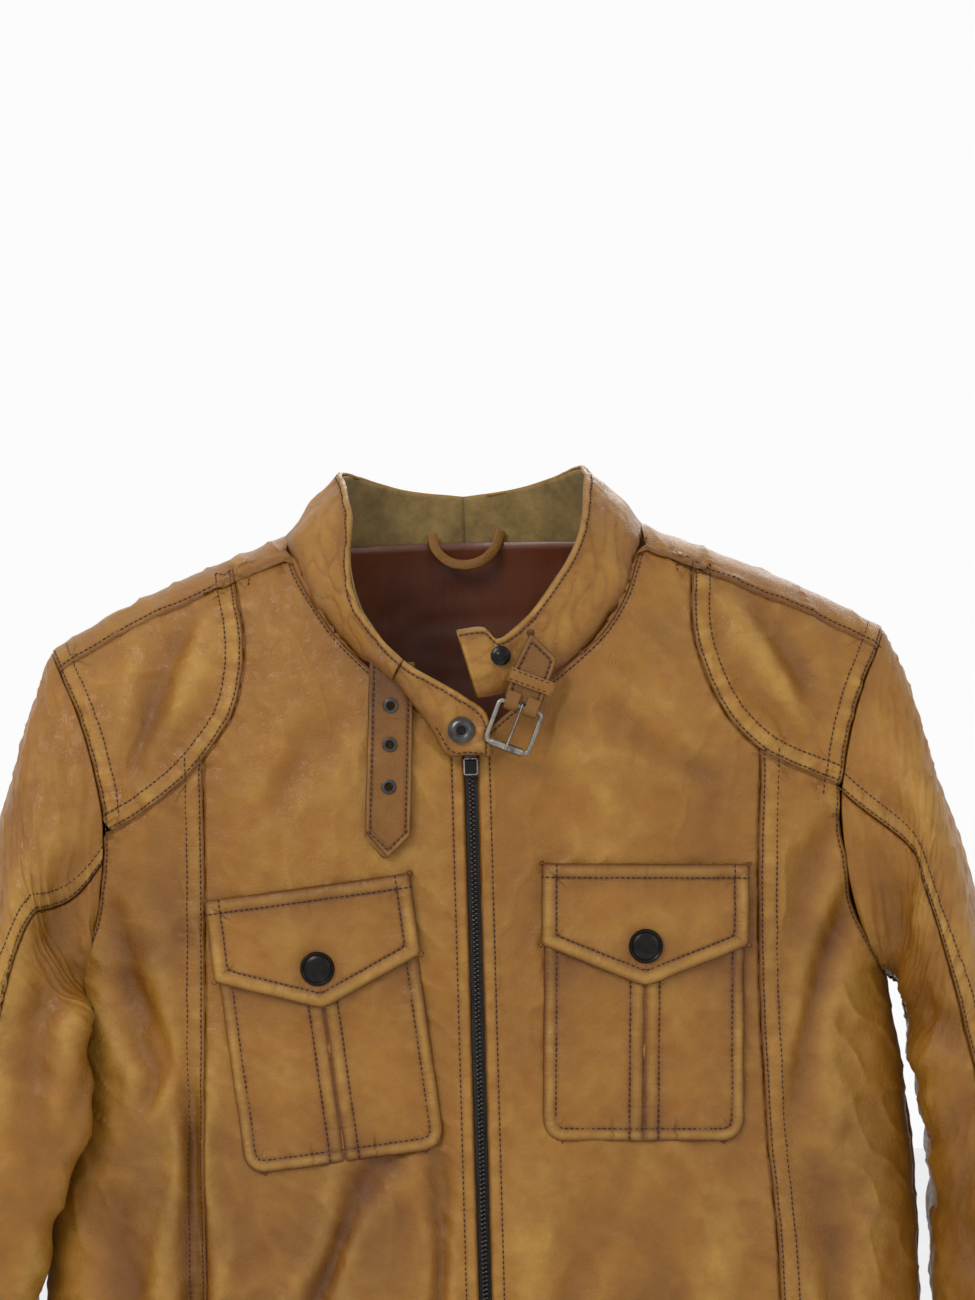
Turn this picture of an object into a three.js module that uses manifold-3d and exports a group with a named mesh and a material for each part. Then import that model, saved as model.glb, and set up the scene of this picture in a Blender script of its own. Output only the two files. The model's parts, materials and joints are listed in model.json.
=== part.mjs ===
// A hip-length leather riding jacket with a stand collar, as it hangs on a hanger.
// Millimetres, +Z up. The wearer faces -Y, the wearer's left is +X.
// The jacket is laid out from the top of the front zip, then moved so that the hanger seat is the origin.
import * as THREE from 'three';
import { mergeVertices } from 'three/addons/utils/BufferGeometryUtils.js';
import Module from 'manifold-3d';

const wasm = await Module();
wasm.setup();

// ---- Driving dimensions ---------------------------------------------------------------------
const LEATHER = 1.4; // garment leather
const LINING = 0.6; // satin lining
const SEAM_GAP = 0.9; // clearance between panels that meet at a seam
const PLY_GAP = 0.7; // clearance between plies that lie on each other
const HALF_DEPTH = 62; // centre front to the middle plane
const ARMPIT_HALF = 207; // half width at the armpit
const CHEST_HALF = 223; // half width below the sleeve
const HEM_HALF = 226; // half width at the hem
const SHOULDER_HALF = 211; // centre to shoulder point
const SHOULDER_DROP = 57; // neck point down to shoulder point
const NECK_HALF = 90; // centre to neck point
const NECK_Z = 115; // neck point above the top of the zip
const ARMPIT_Z = -116;
const HEM_DROP = 480; // zip top to hem
const HEM_BAND = 42; // height of the hem band
const HANGER_SEAT_Z = 104; // inside of the neck, where the hanger's middle sits
const SLEEVE_LENGTH = 620; // shoulder point to cuff
const CUFF_BAND = 46;
const CUFF_HALF = 37; // half width of the cuff
const PRINCESS_X = 143.5; // seam from the shoulder patch to the hem
const PATCH_EDGE = [[114, 92], [113.5, 67], [116, 45], [124, 22], [137, 4], [158, -11], [186, -20]];
const YOKE_BACK_Z = 8; // lower edge of the back yoke
const SHOULDER_SEAM_DROP = 13; // shoulder seam in front of and below the ridge
const POCKET_W = 104;
const POCKET_H = 139;
const POCKET_CORNER = 11;
const FLAP_SIDE = 40; // flap height at its sides
const FLAP_TIP = 61; // flap height at its point
const SNAP_DROP = 41; // flap top to snap centre
const SNAP_DIA = 17;
const ZIP_GAUGE = 3.3; // half of the gap between the two front edges
const TEETH_HALF = 1.8;
const STRAP_W = 23;
const STRAP_T = 2.4;
const EYELET_DIA = 7.6;
const EYELET_HOLE = 4;
const BUCKLE_W = 24.5;
const BUCKLE_H = 21.4; // top bar to roller bar
const BUCKLE_BAR = 2.2; // bar diameter
const ROLLER_DIA = 4;
const COLLAR_SNAP_DIA = 13.4;
const COLLAR_STUD_DIA = 10;

const SECTION_POWER = 2.6; // roundness of the body's level section
const RIDGE_POWER = 2.4; // roundness over the shoulder
const HEM_Z = -HEM_DROP;
const HOLE_SIDES = 16;
const UNDERLAP = LEATHER + 3 * PLY_GAP; // how far the lining lies inside the leather's face
const LINING_END = 0.965; // share of the section where a lining panel stops

// ---- Materials -----------------------------------------------------------------------------
const finish = (color, roughness, metalness = 0) => ({ color, roughness, metalness });
const TAN = finish(0xb5742e, 0.45);
const TAN_DARK = finish(0x9a5c24, 0.5);
const SUEDE = finish(0x9c8458, 0.9);
const SATIN = finish(0x3d1a17, 0.5);
const GUNMETAL = finish(0x2b2a28, 0.35, 0.9);
const SILVER = finish(0x8d8578, 0.35, 1);
const TAPE = finish(0x17120f, 0.85);

const jacket = new THREE.Group();
jacket.position.z = -HANGER_SEAT_Z;

function add(name, geometry, look, parent = jacket) {
  const mesh = new THREE.Mesh(geometry, new THREE.MeshStandardMaterial(look));
  mesh.name = name;
  parent.add(mesh);
  return mesh;
}

// ---- Mesh helpers --------------------------------------------------------------------------
function signedVolume(points, faces) {
  let sum = 0;
  for (const [a, b, c] of faces) sum += points[a].dot(points[b].clone().cross(points[c]));
  return sum / 6;
}

function meshFrom(points, faces) {
  const turned = signedVolume(points, faces) < 0 ? faces.map(([a, b, c]) => [a, c, b]) : faces;
  const geometry = new THREE.BufferGeometry();
  geometry.setAttribute('position', new THREE.Float32BufferAttribute(points.flatMap((p) => p.toArray()), 3));
  geometry.setIndex(turned.flat());
  return geometry;
}

const evenly = (count) => Array.from({ length: count + 1 }, (_, i) => i / count);

// A sheet with thickness: face(u, v) is its outer face and back(u, v) its inner one.
// Its grid is a count of even steps or a list of shares, each way.
function sheet(face, back, across, up, ring = false) {
  const us = Array.isArray(across) ? across : evenly(across);
  const vs = Array.isArray(up) ? up : evenly(up);
  const nu = us.length - 1;
  const nv = vs.length - 1;
  const points = [];
  const columns = ring ? nu : nu + 1;
  const rows = nv + 1;
  for (const side of [face, back]) {
    for (let i = 0; i < columns; i += 1) {
      for (let j = 0; j < rows; j += 1) points.push(side(us[i], vs[j]));
    }
  }
  const at = (layer, i, j) => layer * columns * rows + (i % columns) * rows + j;
  const faces = [];
  const quad = (a, b, c, d) => faces.push([a, b, c], [a, c, d]);
  for (let i = 0; i < nu; i += 1) {
    for (let j = 0; j < nv; j += 1) {
      quad(at(0, i, j), at(0, i + 1, j), at(0, i + 1, j + 1), at(0, i, j + 1));
      quad(at(1, i, j + 1), at(1, i + 1, j + 1), at(1, i + 1, j), at(1, i, j));
    }
    quad(at(0, i, 0), at(1, i, 0), at(1, i + 1, 0), at(0, i + 1, 0));
    quad(at(0, i + 1, nv), at(1, i + 1, nv), at(1, i, nv), at(0, i, nv));
  }
  if (!ring) {
    for (let j = 0; j < nv; j += 1) {
      quad(at(0, 0, j + 1), at(1, 0, j + 1), at(1, 0, j), at(0, 0, j));
      quad(at(0, nu, j), at(1, nu, j), at(1, nu, j + 1), at(0, nu, j + 1));
    }
  }
  return meshFrom(points, faces);
}

// Steps through a list of [key, value] pairs, keys rising or falling.
function along(pairs, key) {
  const rising = pairs.at(-1)[0] > pairs[0][0];
  const ends = [pairs[0][0], pairs.at(-1)[0]];
  const k = THREE.MathUtils.clamp(key, Math.min(...ends), Math.max(...ends));
  for (let i = 1; i < pairs.length; i += 1) {
    const [k0, v0] = pairs[i - 1];
    const [k1, v1] = pairs[i];
    if (rising ? k <= k1 : k >= k1) return v0 + ((v1 - v0) * (k - k0)) / (k1 - k0);
  }
  return pairs.at(-1)[1];
}

// Places a flat outline, drawn in (x, z), between two depths (y).
function plate(outline, yFront, yBack, holes = []) {
  const rimOf = outline.map(([x, z]) => new THREE.Vector2(x, z));
  const shape = new THREE.Shape(THREE.ShapeUtils.isClockWise(rimOf) ? rimOf.reverse() : rimOf);
  for (const [x, z, r] of holes) {
    const rim = [];
    for (let i = 0; i < HOLE_SIDES; i += 1) {
      const a = (-2 * Math.PI * i) / HOLE_SIDES;
      rim.push(new THREE.Vector2(x + r * Math.cos(a), z + r * Math.sin(a)));
    }
    shape.holes.push(new THREE.Path(rim));
  }
  const geometry = new THREE.ExtrudeGeometry(shape, { depth: yBack - yFront, bevelEnabled: false });
  geometry.rotateX(Math.PI / 2);
  geometry.translate(0, yBack, 0);
  return geometry;
}

// A turned part whose axis runs along -Y; the profile is [radius, height] from its seat.
function turned(profile, sides = 20) {
  const geometry = new THREE.LatheGeometry(profile.map(([r, h]) => new THREE.Vector2(r, h)), sides);
  geometry.rotateX(Math.PI);
  return geometry;
}

function solid(geometry) {
  const bare = geometry.clone();
  bare.deleteAttribute('normal');
  bare.deleteAttribute('uv');
  const merged = mergeVertices(bare, 1e-4);
  return new wasm.Manifold(new wasm.Mesh({
    numProp: 3,
    vertProperties: new Float32Array(merged.attributes.position.array),
    triVerts: new Uint32Array(merged.index.array),
  }));
}

function geometryOf(manifold) {
  const { vertProperties, triVerts } = manifold.getMesh();
  const geometry = new THREE.BufferGeometry();
  geometry.setAttribute('position', new THREE.Float32BufferAttribute([...vertProperties], 3));
  geometry.setIndex([...triVerts]);
  return geometry;
}

// ---- The body's shape ----------------------------------------------------------------------
const SHOULDER_Z = NECK_Z - SHOULDER_DROP;

// Height of the shoulder ridge, from the neck point to the shoulder point.
function ridge(x) {
  const t = (Math.abs(x) - NECK_HALF) / (SHOULDER_HALF - NECK_HALF);
  if (t <= 0) return NECK_Z - t * SHOULDER_DROP;
  return NECK_Z - SHOULDER_DROP * (0.86 * t + 0.14 * t ** 4);
}

function halfWidth(z) {
  return along([
    [NECK_Z, CHEST_HALF + 4],
    [-20, CHEST_HALF],
    [ARMPIT_Z + 39, ARMPIT_HALF + 7],
    [ARMPIT_Z, ARMPIT_HALF],
    [ARMPIT_Z - 43, ARMPIT_HALF + 9],
    [ARMPIT_Z - 97, CHEST_HALF - 1],
    [ARMPIT_Z - 134, CHEST_HALF],
    [HEM_Z, HEM_HALF],
  ], z);
}

// Height where the front starts to turn back over the shoulder.
const turnStart = (x) => -60 * Math.min(1, Math.abs(x) / 120);

function depthAt(x, z) {
  const across = Math.min(1, Math.abs(x) / halfWidth(z));
  const up = THREE.MathUtils.clamp((z - turnStart(x)) / (ridge(x) - turnStart(x)), 0, 1);
  const level = (1 - across ** SECTION_POWER) ** (1 / SECTION_POWER);
  return HALF_DEPTH * level * (1 - up ** RIDGE_POWER) ** (1 / RIDGE_POWER);
}

// A point of the body's face, lifted along its normal. side is -1 in front and 1 behind.
function bodyPoint(x, z, side, lift = 0) {
  const step = 0.5;
  const y = depthAt(x, z);
  const slopeX = (depthAt(x + step, z) - depthAt(x - step, z)) / (2 * step);
  const slopeZ = (depthAt(x, z + step) - depthAt(x, z - step)) / (2 * step);
  const normal = new THREE.Vector3(-slopeX, side, -slopeZ).normalize();
  return new THREE.Vector3(x, side * y, z).addScaledVector(normal, lift);
}

// Turns a share of the way round the section (0 centre, 1 side seam) into x.
const aroundX = (share, z) => halfWidth(z) * Math.sin((share * Math.PI) / 2) ** (2 / SECTION_POWER);
const shareAt = (x, z) => (Math.asin(Math.min(1, (x / halfWidth(z)) ** (SECTION_POWER / 2))) * 2) / Math.PI;

// A leather panel: place(u, v) gives [x, z, side].
function panel(place, nu, nv, lift = 0, thickness = LEATHER) {
  const face = (u, v) => bodyPoint(...place(u, v), lift);
  const back = (u, v) => bodyPoint(...place(u, v), lift - thickness);
  return sheet(face, back, nu, nv);
}

const mix = THREE.MathUtils.lerp;
const HANDS = { R: -1, L: 1 };
const BAND_TOP = HEM_Z + HEM_BAND;
const SIDE_SEAM = 0.996;

// Armhole edge of the body, by height.
const armholeX = (z) => along([
  [SHOULDER_Z, SHOULDER_HALF],
  [SHOULDER_Z - 27, SHOULDER_HALF - 11],
  [SHOULDER_Z - 47, SHOULDER_HALF - 18],
  [-20, SHOULDER_HALF - 25],
  [ARMPIT_Z + 39, ARMPIT_HALF - 15],
  [ARMPIT_Z + 9, ARMPIT_HALF - 6],
  [ARMPIT_Z, ARMPIT_HALF],
], z);

// Edges of the panels, as [x, z] points on the body's face.
const NECK_FRONT = [[ZIP_GAUGE, 14], [20, 24], [43, 40], [59, 53], [80, 79], [86.5, 99]];
const seamAt = (x, clear = 0) => [x, ridge(x) - SHOULDER_SEAM_DROP - clear];
const shifted = (points, dx, dz) => points.map(([x, z]) => [x + dx, z + dz]);
const armEdge = (z0, z1, steps = 6) => {
  const points = [];
  for (let i = 0; i <= steps; i += 1) {
    const z = mix(z0, z1, i / steps);
    points.push([armholeX(z) - SEAM_GAP, z]);
  }
  return points;
};

// A point at a share of a polyline's length.
function pointAlong(points, share) {
  const steps = points.slice(1).map((p, i) => Math.hypot(p[0] - points[i][0], p[1] - points[i][1]));
  let left = share * steps.reduce((sum, step) => sum + step, 0);
  for (let i = 0; i < steps.length; i += 1) {
    if (left <= steps[i] || i === steps.length - 1) {
      const t = Math.min(1, left / steps[i]);
      return [mix(points[i][0], points[i + 1][0], t), mix(points[i][1], points[i + 1][1], t)];
    }
    left -= steps[i];
  }
  return points.at(-1);
}

// Grid steps that hit every corner of the given edges, with even steps between.
function stepsFor(count, ...edges) {
  const corners = edges.flatMap((points) => {
    const reach = [0];
    for (let i = 1; i < points.length; i += 1) {
      reach.push(reach.at(-1) + Math.hypot(points[i][0] - points[i - 1][0], points[i][1] - points[i - 1][1]));
    }
    return reach.map((r) => r / reach.at(-1));
  });
  const apart = (c, i, all) => i === 0 || c - all[i - 1] > 1e-6;
  const kept = [...new Set(corners)].sort((a, b) => a - b).filter(apart);
  kept[kept.length - 1] = 1;
  const room = 0.5 / count;
  const between = evenly(count).filter((e) => kept.every((c) => Math.abs(c - e) > room));
  return [...kept, ...between].sort((a, b) => a - b);
}

// A four-sided patch between edges: low and high run across, near and far run up.
function coons(low, high, near, far) {
  return (u, v) => {
    const [b, t, l, r] = [pointAlong(low, u), pointAlong(high, u), pointAlong(near, v), pointAlong(far, v)];
    return [0, 1].map((k) => {
      const ruled = mix(b[k], t[k], v) + mix(l[k], r[k], u);
      return ruled - mix(mix(low[0][k], low.at(-1)[k], u), mix(high[0][k], high.at(-1)[k], u), v);
    });
  };
}

const SIDE_PATCH_SPLIT = 3; // corner of the shoulder patch, counted along its edge
const PATCH_TOP = seamAt(PATCH_EDGE[0][0]);
const SIDE_TOP = ARMPIT_Z - SEAM_GAP;
const bandEdge = BAND_TOP + SEAM_GAP;
for (const [hand, s] of Object.entries(HANDS)) {
  const flat = (patch) => (u, v) => {
    const [x, z] = patch(u, v);
    return [s * x, z, -1];
  };
  // Front panel: zip edge to princess seam, hem band to neck, with the shoulder patch beside its top.
  const princessX = PRINCESS_X - SEAM_GAP / 2;
  const patchSide = shifted(PATCH_EDGE.slice(0, 5), -SEAM_GAP, 0).filter(([x]) => x < princessX);
  const far = [
    [princessX, bandEdge], [princessX, -2], ...patchSide.reverse(), seamAt(PATCH_TOP[0] - SEAM_GAP, SEAM_GAP),
  ];
  const high = [...NECK_FRONT, seamAt(NECK_HALF + 6, SEAM_GAP), seamAt(PATCH_TOP[0] - SEAM_GAP, SEAM_GAP)];
  const front = coons([[ZIP_GAUGE, bandEdge], far[0]], high, [[ZIP_GAUGE, bandEdge], NECK_FRONT[0]], far);
  add(`front_panel_${hand}`, panel(flat(front), stepsFor(7, high), stepsFor(9, far)), TAN);

  // Curved shoulder patch, from the front panel to the armhole.
  const edge = shifted(PATCH_EDGE, SEAM_GAP / 2, SEAM_GAP / 2);
  const corner = edge[SIDE_PATCH_SPLIT];
  const armTop = armholeX(SHOULDER_Z - SHOULDER_SEAM_DROP) - SEAM_GAP;
  const arm = armEdge(edge.at(-1)[1], seamAt(armTop, SEAM_GAP)[1]);
  const patchLow = [...edge.slice(SIDE_PATCH_SPLIT, -1), arm[0]];
  const patchHigh = [seamAt(edge[0][0], SEAM_GAP), seamAt(150, SEAM_GAP), seamAt(185, SEAM_GAP), arm.at(-1)];
  const patchNear = [corner, edge[2], edge[1], patchHigh[0]];
  const patchShape = flat(coons(patchLow, patchHigh, patchNear, arm));
  add(`shoulder_patch_${hand}`, panel(patchShape, stepsFor(6, patchLow), stepsFor(6, patchNear, arm)), TAN);

  // Side panels: princess seam to side seam, in front and behind, worked in shares of the section.
  const inner = PRINCESS_X + SEAM_GAP / 2;
  const shares = (points) => points.map(([x, z]) => [shareAt(x, z), z]);
  const underPatch = shifted(PATCH_EDGE, 0, -SEAM_GAP).filter(([x]) => x > inner);
  const tops = {
    side_panel: [-1, [[inner, -2], ...underPatch]],
    back_side_panel: [1, [
      [inner, YOKE_BACK_Z - SEAM_GAP], [armholeX(YOKE_BACK_Z) - SEAM_GAP, YOKE_BACK_Z - SEAM_GAP],
    ]],
  };
  for (const [name, [side, top]] of Object.entries(tops)) {
    const down = armEdge(top.at(-1)[1] - 2, ARMPIT_Z + 3).map(([x, z]) => [x - 0.3, z]);
    const upper = [...shares([...top.slice(0, -1), ...down]), [SIDE_SEAM, SIDE_TOP]];
    const lower = [[shareAt(inner, bandEdge), bandEdge], [SIDE_SEAM, bandEdge]];
    const near = shares([[inner, bandEdge], [inner, -120], top[0]]);
    const patch = coons(lower, upper, near, [[SIDE_SEAM, bandEdge], [SIDE_SEAM, SIDE_TOP]]);
    const place = (u, v) => {
      const [share, z] = patch(u, v);
      return [s * aroundX(share, z), z, side];
    };
    add(`${name}_${hand}`, panel(place, stepsFor(5, upper), 10), TAN);
  }

  // Hem band, in front.
  const band = (u, v) => {
    const z = mix(HEM_Z, BAND_TOP, v);
    return [s * aroundX(mix(shareAt(ZIP_GAUGE, z), SIDE_SEAM, u), z), z, -1];
  };
  add(`hem_band_front_${hand}`, panel(band, 10, 1), TAN);

  // Lining of the front.
  const lining = (u, v) => {
    const z = mix(HEM_Z + HEM_BAND / 2, ARMPIT_Z - 6, v);
    const x = aroundX(mix(shareAt(22, z), LINING_END, u), z);
    return [s * x, z, -1];
  };
  add(`lining_front_${hand}`, panel(lining, 10, 6, -UNDERLAP, LINING), SATIN);
}

// ---- Back ----------------------------------------------------------------------------------
const backCentre = (u, v) => {
  const x = mix(-1, 1, u) * (PRINCESS_X - SEAM_GAP / 2);
  return [x, mix(bandEdge, YOKE_BACK_Z - 1.5 * SEAM_GAP, v), 1];
};
add('back_panel_centre', panel(backCentre, 12, 12), TAN);

const bandBack = (u, v) => {
  const z = mix(HEM_Z, BAND_TOP, v);
  const share = mix(-SIDE_SEAM, SIDE_SEAM, u);
  return [Math.sign(share) * aroundX(Math.abs(share), z), z, 1];
};
add('hem_band_back', panel(bandBack, 20, 1), TAN);

const liningBack = (u, v) => {
  const z = mix(HEM_Z + HEM_BAND / 2, ARMPIT_Z - 6, v);
  const share = mix(-1, 1, u) * LINING_END;
  return [Math.sign(share) * aroundX(Math.abs(share), z), z, 1];
};
add('lining_back', panel(liningBack, 20, 6, -UNDERLAP, LINING), SATIN);

// Back yoke: up the back, over the shoulder ridge and down to the shoulder seam.
// It is worked in x and in the angle over the ridge, which is a quarter turn on the ridge itself.
const NECK_BACK_Z = NECK_Z - 9;
const ANGLE_SCALE = 100; // makes a radian count like millimetres along an edge
function overRidge(x, z, side) {
  const up = THREE.MathUtils.clamp((z - turnStart(x)) / (ridge(x) - turnStart(x)), 0, 1);
  const angle = Math.asin(up ** (RIDGE_POWER / 2));
  return [x, ANGLE_SCALE * (side > 0 ? angle : Math.PI - angle)];
}
const yokeLow = YOKE_BACK_Z + SEAM_GAP / 2;
const yokeHalf = [
  ...armEdge(yokeLow, SHOULDER_Z - 3).map(([x, z]) => overRidge(x, z, 1)),
  overRidge(SHOULDER_HALF - 2 - SEAM_GAP, ridge(SHOULDER_HALF), 1),
  overRidge(armholeX(SHOULDER_Z - SHOULDER_SEAM_DROP) - 2 * SEAM_GAP, SHOULDER_Z - SHOULDER_SEAM_DROP + 6, -1),
];
const shoulderTop = [];
for (const x of [yokeHalf.at(-1)[0], 185, 150, PATCH_TOP[0], NECK_HALF + 6]) {
  shoulderTop.push(x === yokeHalf.at(-1)[0] ? yokeHalf.at(-1) : overRidge(...seamAt(x, -1.3 * SEAM_GAP), -1));
}
const neckTop = [NECK_HALF - 3, 40, 0].map((x) => overRidge(x, NECK_BACK_Z, 1));
const rightTop = [...shoulderTop, ...neckTop];
const minusX = ([x, a]) => [-x, a];
const yokeTop = [...rightTop.map(minusX), ...[...rightTop].reverse().slice(1)];
const lowEdge = evenly(40).map((share) => overRidge(mix(yokeHalf[0][0], -yokeHalf[0][0], share), yokeLow, 1));
const yokePatch = coons(lowEdge.reverse(), yokeTop, yokeHalf.map(minusX), yokeHalf);
function yokePlace(u, v) {
  const [x, scaled] = yokePatch(u, v);
  const angle = THREE.MathUtils.clamp(scaled / ANGLE_SCALE, 0, Math.PI);
  const z = turnStart(x) + (ridge(x) - turnStart(x)) * Math.sin(angle) ** (2 / RIDGE_POWER);
  return [x, z, angle > Math.PI / 2 ? -1 : 1];
}
add('back_yoke', panel(yokePlace, stepsFor(24, yokeTop), stepsFor(7, yokeHalf)), TAN);

// ---- Sleeves -------------------------------------------------------------------------------
// Each ring is [outer x, outer z, inner x, inner z, half depth]; the last four follow the sleeve's length.
const CUFF_SLOPE = 0.29;
const reachAt = (share) => {
  const drop = SLEEVE_LENGTH * share;
  return [SHOULDER_HALF + 8 + drop * 0.262, SHOULDER_Z - drop * 0.965];
};
function lowRing(share, width, halfDepth) {
  const [x, z] = reachAt(share);
  return [x, z, x - width, z - width * CUFF_SLOPE, halfDepth];
}
const RINGS = [
  [SHOULDER_HALF + 15, SHOULDER_Z - 37, ARMPIT_HALF + 6, ARMPIT_Z - 6, 47],
  [SHOULDER_HALF + 30, SHOULDER_Z - 83, ARMPIT_HALF + 9, ARMPIT_Z - 16, 51],
  [SHOULDER_HALF + 46, SHOULDER_Z - 145, ARMPIT_HALF + 14, ARMPIT_Z - 38, 54],
  [SHOULDER_HALF + 66, SHOULDER_Z - 222, CHEST_HALF + 6, ARMPIT_Z - 92, 54],
  lowRing(0.52, 76, 51),
  lowRing(0.7, 86, 48),
  lowRing(0.86, 80, 43),
  lowRing(1, 2 * CUFF_HALF, CUFF_HALF),
];

function ringPoint(ring, angle) {
  const [ox, oz, ix, iz, half] = ring;
  const c = Math.cos(angle);
  const across = (outer, inner) => (outer + inner + (outer - inner) * c) / 2;
  return new THREE.Vector3(across(ox, ix), -half * Math.sin(angle), across(oz, iz));
}

// The armhole itself: the sleeve head follows the body's edge.
function armholePoint(angle) {
  const c = Math.cos(angle);
  const z = -20 + c * (c > 0 ? SHOULDER_Z + 20 : -20 - ARMPIT_Z);
  const x = armholeX(z);
  const y = -Math.sign(Math.sin(angle)) * depthAt(x, z);
  return new THREE.Vector3(x + SEAM_GAP, y, z - (c < 0 ? 3 * SEAM_GAP * c * c : 0));
}

function sleeveCurve(angle) {
  return new THREE.CatmullRomCurve3([armholePoint(angle), ...RINGS.map((ring) => ringPoint(ring, angle))]);
}

function sleevePoint(angle, w, inset, s) {
  const p = sleeveCurve(angle).getPoint(w);
  const turn = 0.03;
  const near = sleeveCurve(angle + turn).getPoint(w);
  const down = sleeveCurve(angle).getPoint(Math.min(1, w + 0.02));
  const up = sleeveCurve(angle).getPoint(Math.max(0, w - 0.02));
  const normal = down.sub(up).cross(near.sub(p)).normalize();
  const q = p.clone().addScaledVector(normal, inset);
  return new THREE.Vector3(s * q.x, q.y, q.z);
}

const CUFF_START = 1 - CUFF_BAND / (SLEEVE_LENGTH * 1.06);
const SLEEVE_SEAM = 0.024; // angle of the gap at each sleeve seam
const HALF_TURN = (Math.PI - SLEEVE_SEAM) / 2;
const SLEEVES = {
  R: new THREE.Group(),
  L: new THREE.Group(),
};
for (const [hand, s] of Object.entries(HANDS)) {
  const group = SLEEVES[hand];
  jacket.add(group);
  const shell = (from, to, w0, w1, nu, nv, inset, thickness, ring = false) => {
    const face = (u, v) => sleevePoint(mix(from, to, u), mix(w0, w1, v), inset, s);
    const back = (u, v) => sleevePoint(mix(from, to, u), mix(w0, w1, v), inset + thickness, s);
    return sheet(face, back, nu, nv, ring);
  };
  add(`top_sleeve_${hand}`, shell(-HALF_TURN, HALF_TURN, 0.002, CUFF_START, 10, 16, 0, LEATHER), TAN, group);
  const underFrom = HALF_TURN + SLEEVE_SEAM;
  const under = shell(underFrom, underFrom + 2 * HALF_TURN, 0.002, CUFF_START, 8, 16, 0, LEATHER);
  add(`under_sleeve_${hand}`, under, TAN, group);
  add(`cuff_${hand}`, shell(0, 2 * Math.PI, CUFF_START + 0.004, 1, 20, 1, 0, LEATHER, true), TAN, group);
  const lining = shell(0, 2 * Math.PI, 0.16, 0.96, 16, 10, UNDERLAP + 2 * PLY_GAP, LINING, true);
  add(`sleeve_lining_${hand}`, lining, SATIN, group);
}

// ---- Collar --------------------------------------------------------------------------------
// Stations run from the wearer's left front end, round the back, to the wearer's right.
const COLLAR_FRONT_Y = -HALF_DEPTH - 4.5;
const deep = (share) => share * HALF_DEPTH;
const COLLAR_LOW = [
  [4, COLLAR_FRONT_Y, 29], [22, COLLAR_FRONT_Y, 32], [43, COLLAR_FRONT_Y + 1, 44], [62, deep(-0.984), 60],
  [83, deep(-0.823), 84], [93, deep(-0.548), 107], [94, 0, 121], [80, deep(0.548), 120],
  [48, deep(0.806), 116], [0, deep(0.919), 114],
];
const COLLAR_HIGH = [
  [-5.5, COLLAR_FRONT_Y, 64], [14, COLLAR_FRONT_Y, 62], [33, COLLAR_FRONT_Y + 2, 74], [48, deep(-0.935), 93],
  [58, deep(-0.71), 118], [62, deep(-0.355), 140], [60, deep(0.032), 146], [48, deep(0.387), 143],
  [27, deep(0.581), 138], [0, deep(0.645), 134],
];
const COLLAR_END = 2; // stations the wearer's right side stops short by
const mirrored = (list) => list.slice(COLLAR_END, -1).reverse().map(([x, y, z]) => [-x, y, z]);
const curveOf = (list) => new THREE.CatmullRomCurve3(list.map((p) => new THREE.Vector3(...p)));
const collarLow = curveOf([...COLLAR_LOW, ...mirrored(COLLAR_LOW)]);
const collarHigh = curveOf([...COLLAR_HIGH, ...mirrored(COLLAR_HIGH)]);
const NECK_CENTRE = new THREE.Vector3(0, 0, 100);

function collarPoint(u, v, inset) {
  const p = collarLow.getPoint(u).lerp(collarHigh.getPoint(u), v);
  const side = collarLow.getPoint(Math.min(1, u + 0.01)).sub(collarLow.getPoint(Math.max(0, u - 0.01)));
  const rise = collarHigh.getPoint(u).sub(collarLow.getPoint(u));
  const normal = side.cross(rise).normalize();
  if (normal.dot(NECK_CENTRE.clone().sub(p)) < 0) normal.negate();
  return p.addScaledVector(normal, inset);
}
const collarPly = (inset, thickness, low) => sheet(
  (u, v) => collarPoint(u, mix(low, 1, v), inset),
  (u, v) => collarPoint(u, mix(low, 1, v), inset + thickness),
  30,
  2,
);
add('collar', collarPly(0, LEATHER, 0), TAN);
add('collar_facing', collarPly(LEATHER + 2 * PLY_GAP, LEATHER, 0.06), SUEDE);

// Folded end of the wearer's right collar, its inner side showing.
const TAB_BACK = -HALF_DEPTH - 5.6;
const TAB_T = 2 * LEATHER + 0.2;
const TAB_FRONT = TAB_BACK - TAB_T;
const TAB = [
  [-40, 55], [-28.5, 46], [-11, 36], [9, 21], [11, 0.5], [-12, 1], [-18, 12], [-26, 24], [-35, 36], [-43, 47],
];
add('collar_end', plate(TAB, TAB_FRONT, TAB_BACK), TAN_DARK);

function snapRing(dia, height) {
  const r = dia / 2;
  const bore = r * 0.42;
  return turned([[bore, 0], [r, 0], [r, height * 0.6], [r * 0.86, height], [r * 0.5, height * 0.9], [bore, 0]]);
}
const dome = (dia, height) => {
  const r = dia / 2;
  const crown = [[r * 0.8, height * 0.8], [r * 0.45, height], [0, height]];
  return turned([[0, 0], [r, 0], [r, height * 0.3], ...crown]);
};
const collarSocket = add('collar_snap_socket', snapRing(COLLAR_SNAP_DIA, 1.8), GUNMETAL);
collarSocket.position.set(-4.2, TAB_FRONT - 0.3, 13.4);
const collarStud = add('collar_snap_stud', dome(COLLAR_STUD_DIA, 2.4), GUNMETAL);
collarStud.position.set(16, COLLAR_FRONT_Y - 0.4, 50);

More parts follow.
